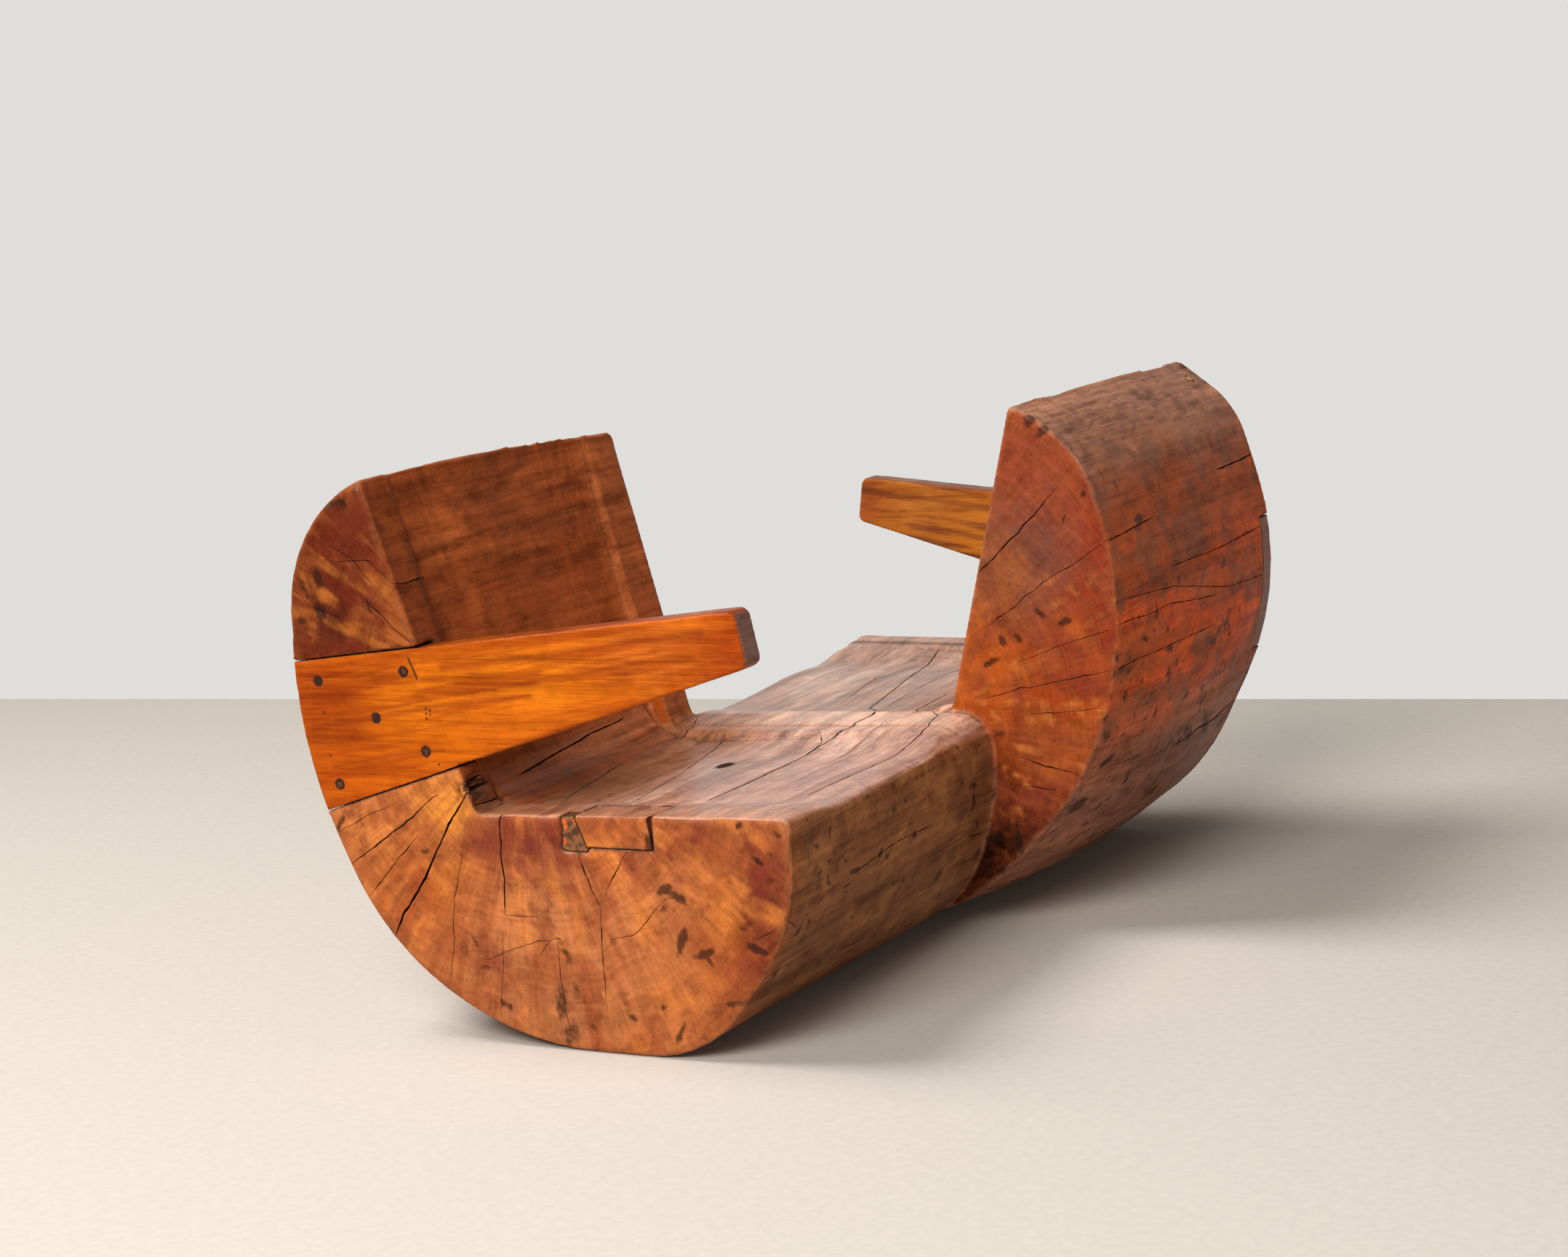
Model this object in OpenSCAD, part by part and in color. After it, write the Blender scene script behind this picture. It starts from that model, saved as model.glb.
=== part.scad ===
// Two-seat conversation chair carved from one log, with an armrest plank let into each end.
// X runs along the log, Z is up and the origin is on the floor under the middle of the log.
// The near half, on the -X side, has its backrest on the +Y side.
// The far half is the same form after half a turn about Z, grown a little differently.

/* [Log] */
// Length of the log from end face to end face
log_length = 1446; // [1200:1:1700]
// Height of the ridge, where the backrest's front meets the outer side
ridge_height = 860; // [820:1:920]
// Place of the ridge behind the centre line
ridge_reach = 370; // [340:1:400]
// Place of the outer side's middle corner behind the centre line
back_reach = 534; // [510:1:580]
// Height of the outer side's middle corner
back_height = 440; // [420:1:470]
// How far the shoulder's corner stands in from the outer side's
shoulder_inset = 17; // [0:1:40]
// Drop of the shoulder's corner below the ridge
shoulder_drop = 58; // [40:1:80]
// How far the lower corner of the outer side stands in from the middle one
underside_inset = 127; // [100:1:150]
// Height of the lower corner of the outer side
underside_height = 145; // [120:1:170]
// Softening of the edges round each end face
end_softening = 5; // [1:0.5:8]
// Softening of the edges where the near backrest ends in the middle of the log
middle_softening = 14; // [4:1:18]
// Distance of each backrest's inner end from the middle of the log
middle_setback = 10; // [4:1:25]

/* [Base] */
// Where the outer side's curve would meet the floor, behind the centre line
base_back = 176; // [150:1:200]
// Where the front's curve would meet the floor, before the centre line
base_front = 151; // [130:1:170]

/* [Seat] */
// Reach of the seat's front before the centre line
front_reach = 317; // [300:1:345]
// Height of the corner under the seat's front
front_height = 217; // [195:1:240]
// Height of the seat's rim at its front edge
rim_height = 371; // [350:1:395]
// Fall of the rim from its front edge to the backrest
rim_fall = 16; // [4:1:28]
// Rounding of the seat's front edge
seat_edge_radius = 20; // [8:1:30]
// Width of the flat rim beside an end face
end_rim_width = 80; // [77:1:110]
// Width of the flat rim between the two seats
middle_rim_width = 122; // [100:1:160]
// Depth of the dished seat below its rim
dish_depth = 16; // [8:1:22]
// Length of the dish's slope at the front edge, beside an end face
front_slope = 95; // [60:1:130]
// Length of the dish's slope at the front edge, beside the rim between the seats
front_middle_slope = 130; // [80:1:160]
// Length of the dish's slope at the backrest
back_slope = 30; // [12:1:50]
// Radius of the scoop between the dished seat and the backrest
scoop_radius = 110; // [60:1:140]

/* [Backrest] */
// Where the backrest's front meets the seat's rim, behind the centre line
backrest_foot = 217; // [200:1:235]
// Depth of the hollow in the backrest, at the seat
hollow_depth = 25; // [12:1:32]
// Depth of the hollow in the backrest, at the ridge
hollow_top_depth = 7; // [4:1:16]
// Width of the backrest's side rim beside an end face
side_rim_width = 73; // [60:1:100]
// Width of the backrest's side rim next to the middle of the log
inner_rim_width = 85; // [60:1:120]
// Length of the slope from the inner side rim down into the hollow, at the seat
hollow_slope = 20; // [8:1:35]
// The same at the ridge
hollow_top_slope = 60; // [30:1:120]

/* [Armrest] */
// Thickness of the armrest plank
plank_thickness = 48; // [36:1:60]
// Height of the plank's upper edge at the back of the log
plank_top_back = 583; // [570:1:600]
// Height of the plank's upper edge at its tip
plank_top_tip = 668; // [650:1:690]
// Height of the plank's lower edge at the back of the log
plank_low_back = 338; // [325:1:350]
// Height of the plank's lower edge at its tip
plank_low_tip = 583; // [565:1:600]
// Reach of the plank's tip before the centre line
plank_reach = 272; // [230:1:310]
// How far the upper corner of the tip stands back from the lower one
tip_lean = 15; // [0:1:30]
// Rounding of the tip's corners
tip_radius = 15; // [6:1:25]
// Softening of the plank's free edges
plank_softening = 6; // [2:0.5:10]
// Gap between the plank's edges and its housing in the log
housing_gap = 0.4; // [0.2:0.1:1]

/* [Pegs] */
// Diameter of the pegs
peg_diameter = 16.5; // [12:0.5:20]
// Length of the pegs, through the plank and into the log
peg_length = 120; // [90:1:150]
// Gap all round between a peg and its hole
peg_gap = 0.1; // [0.05:0.05:0.3]

/* [Repairs] */
// Depth of the block let into the seat's edge
inlay_depth = 70; // [40:1:74]
// Width of the block along the seat's edge
inlay_width = 133; // [100:1:150]
// Height of the block
inlay_height = 50; // [40:1:60]
// How far the block's bottom corner stands in on its slanted side
inlay_slant = 20; // [10:1:30]
// Place of the block's middle behind the centre line
inlay_place = -23; // [-50:1:-10]
// Depth of the filler in the knot hole beside the block
filler_depth = 30; // [15:1:60]
// Width of the filler
filler_width = 46; // [36:1:52]
// Gap between a repair and the log
repair_gap = 0.3; // [0.1:0.1:0.6]
// Diameter of the plug in the far half's shoulder
plug_diameter = 15; // [8:0.5:22]
// Depth of the plug
plug_depth = 30; // [15:1:50]
// Distance of the plug from the far end face
plug_place = 53; // [30:1:90]

/* [Hidden] */

log_colour = [0.60, 0.30, 0.13];
plank_colour = [0.80, 0.40, 0.12];
peg_colour = [0.27, 0.20, 0.16];
inlay_colour = [0.74, 0.38, 0.14];
filler_colour = [0.30, 0.24, 0.18];
plug_colour = [0.78, 0.60, 0.38];

half_length = log_length / 2;
// Steps in each softened edge, and in an outline's corner where nothing else is said
softening_steps = 2;
arc_steps = 5;
// Steps in the corners of the log's section, from the ridge down the front and round the back
section_steps = [2, 3, 4, 7, 7, 7, 6, 7, 8];
// Lengthwise steps along one half of the log
body_steps = 5;
// How late the log's section changes between the end face and the middle
lateness = 1.5;
// Overshoot of a cut past the face that it opens
over = 2;
// Size of a box that takes in everything on its side
wide = 2000;
// Room left at the closed end of a peg's hole
hole_room = 1;

// Radii of the section's corners
ridge_radius = 5;
foot_radius = 18;
front_radius = 297;
base_front_radius = 208;
base_back_radius = 496;
underside_radius = 410;
back_radius = 681;
shoulder_radius = 233;

// Section of the near end face: corners [y, z, radius], from the ridge down the front and round the back
near_end = [
    [ridge_reach, ridge_height, ridge_radius],
    [backrest_foot, rim_height - rim_fall, foot_radius],
    [-front_reach + 3, rim_height, seat_edge_radius],
    [-front_reach, front_height, front_radius],
    [-base_front, 0, base_front_radius],
    [base_back, 0, base_back_radius],
    [back_reach - underside_inset, underside_height, underside_radius],
    [back_reach, back_height, back_radius],
    [back_reach - shoulder_inset, ridge_height - shoulder_drop, shoulder_radius]
];

// How each corner has moved where the section differs: at the near half's inner end,
// at the far end face, and at the far half's inner end
near_middle_change = [
    [-8, -15, 0], [31, 2, 0], [15, 0, 40], [20, 5, 137], [-58, 0, -8],
    [29, 0, -78], [15, 78, -5], [30, 20, -129], [-39, -7, -10]
];
far_end_change = [
    [1, 4, 0], [0, -3, 0], [0, -14, 0], [0, 0, 0], [0, 0, 0],
    [40, 0, -60], [-17, -6, 17], [30, 31, -178], [-40, -21, -66]
];
far_middle_change = [
    [-11, 6, 0], [5, 15, 0], [15, -15, 40], [20, 5, 137], [-58, 0, -8],
    [29, 0, -78], [15, 78, -5], [30, 20, -129], [-41, 9, -10]
];

// How the corners swell half-way along each half, on top of the change from end to middle
near_swell = [
    [0, 6, 0], [0, 0, 0], [0, 0, 0], [0, 0, 0], [0, 0, 0],
    [40, 0, -120], [15, 0, 0], [5.3, 0, 0], [0, 6, 0]
];
far_swell = [
    [0, 6, 0], [0, 0, 0], [0, 0, 0], [0, 0, 0], [0, 0, 0],
    [25, 0, -120], [16, -6, 0], [0, 0, 0], [0, 6, 0]
];

near_middle = near_end + near_middle_change;
far_end = near_end + far_end_change;
far_middle = near_end + far_middle_change;

// The sections stay the same this close to the middle, where the two halves join
joint_reach = middle_setback + middle_softening + 6;

// Each peg: distance in from the back of the log, and share of the plank's height there
peg_places = [[45, 0.852], [206, 0.827], [147, 0.532], [233, 0.198], [66, 0.149]];
// How far the outer side's curve stays inside its corner
curve_inset = 6.5;
back_face = back_reach - curve_inset;

function mix(a, b, t) = a + (b - a) * t;
function unit(v) = v / norm(v);
function turned_left(v) = [-v[1], v[0]];
function smooth(t) = t * t * (3 - 2 * t);
function at(list, i) = list[(i + len(list)) % len(list)];
function place(corner) = [corner[0], corner[1]];

// Numbers in rising order, each one once
function sorted(list) =
    len(list) == 0 ? [] :
    concat(
        sorted([for (value = list) if (value < list[0]) value]),
        [list[0]],
        sorted([for (value = list) if (value > list[0]) value])
    );

// Half of the angle between the two edges that meet at a corner
function half_angle(corners, i) =
    let (
        back = unit(place(at(corners, i - 1)) - place(at(corners, i))),
        ahead = unit(place(at(corners, i + 1)) - place(at(corners, i)))
    )
    acos(max(-1, min(1, back * ahead))) / 2;

// Length that a corner's arc takes from each of its edges
function tangent(corners, i) = at(corners, i)[2] / tan(half_angle(corners, i));
function edge_length(corners, i) = norm(place(at(corners, i + 1)) - place(at(corners, i)));

// Share of its radius that a corner keeps, so that neighbouring arcs never pass each other
function kept_share(corners, i) =
    let (own = max(0.01, tangent(corners, i)))
    min(
        1,
        0.98 * edge_length(corners, i - 1) / (own + tangent(corners, i - 1)),
        0.98 * edge_length(corners, i) / (own + tangent(corners, i + 1))
    );

// Points of an outline from its corners [y, z, radius], where a radius of 0 is a sharp corner
function rounded(corners, steps) = [
    for (i = [0:len(corners) - 1])
        let (
            corner = place(corners[i]),
            back = unit(place(at(corners, i - 1)) - corner),
            ahead = unit(place(at(corners, i + 1)) - corner),
            radius = corners[i][2] * kept_share(corners, i),
            reach = radius / tan(half_angle(corners, i)),
            centre = corner + unit(back + ahead) * radius / sin(half_angle(corners, i)),
            first = corner + back * reach - centre,
            last = corner + ahead * reach - centre,
            start = atan2(first[1], first[0]),
            sweep = atan2(first[0] * last[1] - first[1] * last[0], first * last)
        )
        let (count = steps == undef ? arc_steps : steps[i])
        for (k = [0:(radius > 0 ? count : 0)])
            let (angle = start + sweep * k / count)
            centre + radius * [cos(angle), sin(angle)]
];

// Corners of a counterclockwise outline moved inwards by a distance
function inset(corners, distance) = [
    for (i = [0:len(corners) - 1])
        let (
            corner = place(corners[i]),
            before = turned_left(unit(corner - place(at(corners, i - 1)))),
            after = turned_left(unit(place(at(corners, i + 1)) - corner)),
            moved = corner + (before + after) * distance / (1 + before * after),
            turning = before[0] * after[1] - before[1] * after[0],
            change = turning > 0 ? -distance : distance
        )
        [moved[0], moved[1], max(0.1, corners[i][2] + change)]
];

// Solid through outlines that stand across X, each [x, points], all with as many points
module skin(rings) {
    count = len(rings[0][1]);
    last = len(rings) - 1;
    points = [for (ring = rings) for (point = ring[1]) [ring[0], point[0], point[1]]];
    sides = [
        for (r = [0:last - 1])
            for (i = [0:count - 1])
                let (
                    next = (i + 1) % count,
                    a = r * count + i,
                    b = r * count + next,
                    c = (r + 1) * count + next,
                    d = (r + 1) * count + i
                )
                for (face = [[a, c, b], [a, d, c]]) face
    ];
    first_cap = [for (i = [0:count - 1]) i];
    last_cap = [for (i = [0:count - 1]) last * count + count - 1 - i];
    polyhedron(points = points, faces = concat(sides, [first_cap, last_cap]), convexity = 6);
}

// Several shapes carved together as one surface, at their own size
module carved() {
    resize([0, 0, 0]) children();
}

// Flat shape drawn in Y and Z, standing from one place on X to another
module across(from, to) {
    translate([from, 0, 0]) rotate([90, 0, 90]) linear_extrude(to - from) children();
}

// The log's section at a place on X between an end face and the middle
function section(end, middle, swell, x) =
    let (
        way = max(0, min(1, (x + half_length) / (half_length - joint_reach))),
        share = pow(way, lateness)
    )
    [for (i = [0:len(end) - 1]) mix(end[i], middle[i], share) + swell[i] * 4 * way * (1 - way)];

// One half of the log before its seat is dished, on the -X side, up to the middle's setback
module half_blank(end, middle, swell, inner_softening) {
    outer = [
        for (k = [0:softening_steps])
            let (angle = 90 * k / softening_steps, x = -half_length + end_softening * (1 - cos(angle)))
            [x, rounded(inset(section(end, middle, swell, x), end_softening * (1 - sin(angle))), section_steps)]
    ];
    first_x = -half_length + end_softening;
    body = [
        for (k = [1:body_steps])
            let (x = mix(first_x, -joint_reach, k / body_steps))
            [x, rounded(section(end, middle, swell, x), section_steps)]
    ];
    inner = [
        for (k = [0:softening_steps])
            let (
                angle = 90 * k / softening_steps,
                x = -middle_setback - inner_softening * (1 - sin(angle))
            )
            [x, rounded(inset(middle, inner_softening * (1 - cos(angle))), section_steps)]
    ];
    skin(concat(outer, body, inner));
}

module near_blank() half_blank(near_end, near_middle, near_swell, middle_softening);
module far_blank() rotate([0, 0, 180]) half_blank(far_end, far_middle, far_swell, end_softening);

// The wood that both sections hold, which joins the halves across the middle.
// It lies a hair below their surfaces and a little to one side, so that no faces or edges fall together.
hair = 0.15;
aside = [0.07, 0.05];
module middle_joint() {
    intersection() {
        across(-joint_reach + 1, joint_reach - 1)
            translate(aside) polygon(rounded(inset(near_middle, hair), section_steps));
        across(-joint_reach, joint_reach)
            mirror([1, 0]) translate(aside) polygon(rounded(inset(far_middle, hair), section_steps));
    }
}

// Depth share at a distance inside the edge of a dished area, a little above the surface outside it
function ramp(inside, slope) = inside <= 0 ? max(-0.12, inside / 30) : smooth(min(1, inside / slope));

// Crisp slope beside an end face, in the hollow and at the back of the dish
crisp_slope = 8;
slope_steps = [0, 0.08, 0.16, 0.3, 0.5, 0.75, 1];
// How far the cut runs on past its edges, above the surface, and past the seat's front
run_out = 4;
past_front = 100;

// What is cut from one half for its dished seat and hollow backrest.
// seat_edge and hollow_edge are the inner ends of the dish and of the hollow, before the middle.
module tray(end, middle, swell, seat_edge, hollow_edge, middle_slope) {
    seat_start = -half_length + end_rim_width;
    hollow_start = -half_length + side_rim_width;
    stations = sorted(concat(
        [hollow_start - run_out, hollow_start, hollow_start + crisp_slope],
        [for (step = slope_steps) seat_start + step * front_slope],
        [for (step = slope_steps) -seat_edge - step * middle_slope],
        [for (step = slope_steps) -hollow_edge - step * hollow_slope],
        [for (step = slope_steps) -hollow_edge - step * hollow_top_slope],
        [-min(seat_edge, hollow_edge) + run_out]
    ));
    skin([
        for (x = stations)
            let (
                corners = section(end, middle, swell, x),
                front = min(ramp(x - seat_start, front_slope), ramp(-seat_edge - x, middle_slope)),
                back = min(ramp(x - seat_start, crisp_slope), ramp(-seat_edge - x, back_slope)),
                low_share = min(ramp(x - hollow_start, crisp_slope), ramp(-hollow_edge - x, hollow_slope)),
                top_share = min(ramp(x - hollow_start, crisp_slope), ramp(-hollow_edge - x, hollow_top_slope)),
                ridge = place(corners[0]),
                foot = place(corners[1]),
                edge = place(corners[2]),
                rise = unit(ridge - foot),
                low_foot = foot - [0, dish_depth * back],
                low_edge = edge - [0, dish_depth * front],
                floor_way = unit(low_edge - low_foot),
                inwards = [rise[1], -rise[0]],
                back_foot = foot + inwards * hollow_depth * low_share,
                back_top = ridge + inwards * hollow_top_depth * top_share,
                back_way = unit(back_top - back_foot),
                meeting = crossing(back_foot, back_way, low_foot, floor_way)
            )
            [x, rounded([
                [-wide, wide, 0],
                [low_edge[0] + floor_way[0] * past_front, low_edge[1] + floor_way[1] * past_front, 0],
                [meeting[0], meeting[1], max(foot_radius, scoop_radius * back)],
                [back_foot[0] + back_way[0] * wide, back_foot[1] + back_way[1] * wide, 0]
            ])]
    ]);
}

// Point where two lines cross, each given by a point and a direction
function crossing(p, u, q, v) =
    p + u * ((q[0] - p[0]) * v[1] - (q[1] - p[1]) * v[0]) / (u[0] * v[1] - u[1] * v[0]);

module near_tray() {
    tray(
        near_end, near_middle, near_swell,
        middle_rim_width - middle_setback, middle_setback + inner_rim_width, front_middle_slope
    );
}

module far_tray() {
    rotate([0, 0, 180])
        tray(
            far_end, far_middle, far_swell,
            middle_setback, middle_setback + inner_rim_width, front_middle_slope
        );
}

// The plank's outline: corners [y, z, radius] from the tip's lower one, run on past the log's back
past_back = 60;
function plank_top(y) = mix(plank_top_back, plank_top_tip, (back_face - y) / (back_face + plank_reach - tip_lean));
function plank_low(y) = mix(plank_low_back, plank_low_tip, (back_face - y) / (back_face + plank_reach));
plank_corners = [
    [back_face + past_back, plank_top(back_face + past_back), 0],
    [-plank_reach + tip_lean, plank_top_tip, tip_radius],
    [-plank_reach, plank_low_tip, tip_radius],
    [back_face + past_back, plank_low(back_face + past_back), 0]
];

// Everything before the backrest's front, where the plank's edges are free
module before_backrest(margin) {
    foot = place(near_end[1]);
    ridge = place(near_end[0]);
    rise = unit(ridge - foot);
    low = foot - rise * wide - [margin, 0];
    high = foot + rise * wide - [margin, 0];
    polygon([low, high, [-wide, wide], [-wide, -wide]]);
}

// The plank with softened edges on its free stretch and sharp ones in its housing
module plank_bar() {
    outer_face = -half_length + hair;
    inner_face = -half_length + plank_thickness;
    softening = [
        for (k = [0:softening_steps])
            let (angle = 90 * k / softening_steps)
            plank_softening * [1 - cos(angle), 1 - sin(angle)]
    ];
    outer = [
        for (k = [0:softening_steps])
            [outer_face + softening[k][0], rounded(inset_sides(plank_corners, hair + softening[k][1]))]
    ];
    inner = [
        for (k = [softening_steps:-1:0])
            [inner_face - hair - softening[k][0], rounded(inset_sides(plank_corners, hair + softening[k][1]))]
    ];
    intersection() {
        skin(concat(outer, inner));
        across(-half_length - over, inner_face + over) before_backrest(-over);
    }
    difference() {
        across(-half_length - over, inner_face) polygon(rounded(plank_corners));
        across(-half_length - over * 2, inner_face + over) before_backrest(0);
    }
}

// The plank's corners moved inwards, with radii kept as they are where they are sharp
function inset_sides(corners, distance) =
    let (moved = inset(corners, distance))
    [for (i = [0:len(corners) - 1]) [moved[i][0], moved[i][1], corners[i][2] > 0 ? moved[i][2] : 0]];

module peg_hole(index, radius, from, depth) {
    y = back_face - peg_places[index][0];
    z = mix(plank_low(y), plank_top(y), peg_places[index][1]);
    translate([from, y, z]) rotate([0, 90, 0]) cylinder(r = radius, h = depth, $fn = 48);
}

module peg_holes() {
    for (index = [0:len(peg_places) - 1])
        peg_hole(index, peg_diameter / 2 + peg_gap, -half_length - over, peg_length + hole_room + over);
}

// Plank for the half whose outer surface is the first child
module armrest() {
    color(plank_colour) difference() {
        carved() intersection() {
            plank_bar();
            union() {
                children();
                across(-half_length + hair / 2, -half_length + plank_thickness + over)
                    before_backrest(-over);
            }
        }
        peg_holes();
    }
}

// Housing for the plank, a little wider than it
module housing() {
    across(-half_length - over, -half_length + plank_thickness)
        polygon(rounded(inset_sides(plank_corners, -housing_gap)));
}

// Outline of the block let into the seat's edge, run on above the rim
inlay_left = inlay_place - inlay_width / 2;
inlay_right = inlay_place + inlay_width / 2;
inlay_low = rim_height - rim_fall / 2 - inlay_height;
function inlay_outline(gap) =
    let (lean = inlay_slant / inlay_height)
    [
        [inlay_left - gap, inlay_low - gap],
        [inlay_right - inlay_slant + gap, inlay_low - gap],
        [inlay_right + gap + lean * inlay_height * 2, inlay_low + inlay_height * 3],
        [inlay_left - gap, inlay_low + inlay_height * 3]
    ];

// Outline of the knot hole beside the block, against its slanted side
function filler_outline(gap) =
    let (side = inlay_right - inlay_slant)
    rounded([
        [side + filler_width * 0.93 + gap, inlay_low + inlay_height + over, 8],
        [side + inlay_slant - gap, inlay_low + inlay_height + over, 3],
        [side - 3 - gap, inlay_low - 3, 3],
        [side + 2 - gap, inlay_low - 8 - gap, 3],
        [side + filler_width + gap, inlay_low - 7 - gap, 7],
        [side + filler_width * 0.9 + gap, inlay_low + inlay_height * 0.35, 12]
    ]);

module inlay_block(gap) {
    across(-half_length - over, -half_length + inlay_depth + gap) polygon(inlay_outline(gap));
}

module filler_block(gap) {
    across(-half_length - over, -half_length + filler_depth + gap) polygon(filler_outline(gap));
}

// The plug stands square to the slope between the far half's shoulder and its ridge
plug_share = 0.6;
module plug_body(radius, depth, top) {
    corners = section(far_end, far_middle, far_swell, -half_length + plug_place);
    shoulder = place(corners[8]);
    slope = unit(place(corners[0]) - shoulder);
    spot = mix(shoulder, place(corners[0]), plug_share);
    rotate([0, 0, 180])
        translate([-half_length + plug_place, spot[0], spot[1]])
            rotate([-atan2(slope[1], -slope[0]), 0, 0])
                translate([0, 0, -depth]) cylinder(r = radius, h = depth + top, $fn = 40);
}

module log_form() {
    carved() difference() {
        union() {
            near_blank();
            far_blank();
            middle_joint();
        }
        near_tray();
        far_tray();
        for (turn = [0, 180]) rotate([0, 0, turn]) housing();
        inlay_block(repair_gap);
        filler_block(repair_gap);
    }
}

module log_body() {
    color(log_colour) difference() {
        log_form();
        for (turn = [0, 180]) rotate([0, 0, turn]) peg_holes();
        plug_body(plug_diameter / 2 + repair_gap, plug_depth + repair_gap, over);
    }
}

module near_armrest() armrest() near_blank();
module far_armrest() rotate([0, 0, 180]) armrest() half_blank(far_end, far_middle, far_swell, end_softening);

module peg(index) {
    color(peg_colour) peg_hole(index, peg_diameter / 2, -half_length, peg_length);
}

module seat_edge_inlay() {
    color(inlay_colour) carved() intersection() {
        inlay_block(0);
        near_blank();
    }
}

module knot_filler() {
    color(filler_colour) carved() difference() {
        intersection() {
            filler_block(0);
            near_blank();
        }
        inlay_block(repair_gap);
    }
}

module shoulder_plug() {
    color(plug_colour) plug_body(plug_diameter / 2, plug_depth, 0);
}

log_body();
near_armrest();
far_armrest();
peg(0);  // near_peg_1
peg(1);  // near_peg_2
peg(2);  // near_peg_3
peg(3);  // near_peg_4
peg(4);  // near_peg_5
rotate([0, 0, 180]) peg(0);  // far_peg_1
rotate([0, 0, 180]) peg(1);  // far_peg_2
rotate([0, 0, 180]) peg(2);  // far_peg_3
rotate([0, 0, 180]) peg(3);  // far_peg_4
rotate([0, 0, 180]) peg(4);  // far_peg_5
seat_edge_inlay();
knot_filler();
shoulder_plug();
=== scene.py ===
"""Looks of a two-seat conversation chair carved from one log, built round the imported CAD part."""
import math

import bmesh
import bpy
import numpy as np
from mathutils import Matrix, Vector
from mathutils.bvhtree import BVHTree
from mathutils.kdtree import KDTree


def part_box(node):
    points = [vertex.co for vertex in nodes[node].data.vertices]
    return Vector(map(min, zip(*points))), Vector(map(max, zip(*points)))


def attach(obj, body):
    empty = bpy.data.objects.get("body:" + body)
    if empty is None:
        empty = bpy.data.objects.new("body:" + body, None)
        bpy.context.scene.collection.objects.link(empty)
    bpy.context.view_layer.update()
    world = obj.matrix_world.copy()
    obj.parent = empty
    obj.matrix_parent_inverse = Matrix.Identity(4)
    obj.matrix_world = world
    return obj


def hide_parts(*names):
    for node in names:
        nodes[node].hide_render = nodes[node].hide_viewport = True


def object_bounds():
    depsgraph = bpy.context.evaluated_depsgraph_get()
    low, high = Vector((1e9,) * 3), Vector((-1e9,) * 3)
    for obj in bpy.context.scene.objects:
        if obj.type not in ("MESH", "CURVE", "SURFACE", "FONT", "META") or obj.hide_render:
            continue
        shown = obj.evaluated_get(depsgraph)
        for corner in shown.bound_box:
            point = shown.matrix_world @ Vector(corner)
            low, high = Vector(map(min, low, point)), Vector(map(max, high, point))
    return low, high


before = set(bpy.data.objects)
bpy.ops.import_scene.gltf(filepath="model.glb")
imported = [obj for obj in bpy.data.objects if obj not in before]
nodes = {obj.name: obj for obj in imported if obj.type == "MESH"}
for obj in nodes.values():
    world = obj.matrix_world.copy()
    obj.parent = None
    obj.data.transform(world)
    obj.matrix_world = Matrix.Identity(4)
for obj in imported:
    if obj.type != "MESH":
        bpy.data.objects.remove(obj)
cad_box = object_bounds()

HALF = round(cad_box[1][0], 4)   # half of the log's length, in metres like all sizes below
NEAR_END = -round(1000 * HALF)   # x of the near end face, in mm
INNER_END = 10                   # x of the far half's inner end face, in mm
PITH_NEAR = (0.1185, 0.507)   # y and z of the pith at the near end face
PITH_MID = (-0.079, 0.356)    # and in the middle of the log


# Numbers that look natural

TABLE = np.random.default_rng(7).random(4096).astype(np.float32)
PRIMES = (73856093, 19349663, 83492791)
# Keeps noise of one size off the axes of the next
TURN = np.array(Matrix.Rotation(0.8, 3, (0.5, 0.7, 0.3)), np.float32)


def noise(points, scale, seed=0):
    """Smooth noise from 0 to 1 at points, with lumps of about the given size; scale may differ by axis."""
    q = np.asarray(points, float) / np.asarray(scale, float) + 19.7 * seed + 100
    cell = np.floor(q).astype(np.int64)
    f = (q - cell).astype(np.float32)
    f = f * f * (3 - 2 * f)
    keys = [(cell[:, k] * prime, (cell[:, k] + 1) * prime) for k, prime in enumerate(PRIMES)]
    shares = [(1 - f[:, k], f[:, k]) for k in range(3)]
    total = np.zeros(len(q), np.float32)
    for i in (0, 1):
        for j in (0, 1):
            key = keys[0][i] ^ keys[1][j]
            share = shares[0][i] * shares[1][j]
            for k in (0, 1):
                total += share * shares[2][k] * TABLE[(key ^ keys[2][k]) & 4095]
    return total


def cloudy(points, scale, seed=0, octaves=3):
    """Several sizes of noise together, from 0 to 1."""
    scale = np.asarray(scale, float)
    total, weight = 0, 0
    for k in range(octaves):
        if scale.ndim == 0:
            points = points @ TURN
        total = total + noise(points, scale / 2 ** k, seed + 3 * k) / 1.7 ** k
        weight += 1 / 1.7 ** k
    return total / weight


def ramp(low, high, x):
    t = np.clip((np.asarray(x, float) - low) / (high - low), 0, 1)
    return t * t * (3 - 2 * t)


def blend(colour, other, share):
    share = np.asarray(share)[:, None]
    return colour * (1 - share) + np.asarray(other, float) * share


def layered(colour, layers):
    """Colours laid over one another in turn, each with its share from 0 to 1."""
    for rgb, share in layers:
        colour = blend(colour, rgb, share)
    return colour


def bell(distance):
    return np.exp(-distance ** 2)


def fading(distance):
    """1 within an area, where the distance is below 0, and falling softly outside it."""
    return bell(np.maximum(distance, 0))


def lump(co, middle, reach):
    """A soft lump of 1 at its middle, with its own reach along each axis."""
    return np.exp(-(((co - middle) / reach) ** 2).sum(1))


# Meshes

def pulled(items, name, kind=np.int32, width=1):
    values = np.zeros(len(items) * width, kind)
    items.foreach_get(name, values)
    return values.reshape(-1, width) if width > 1 else values


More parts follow.
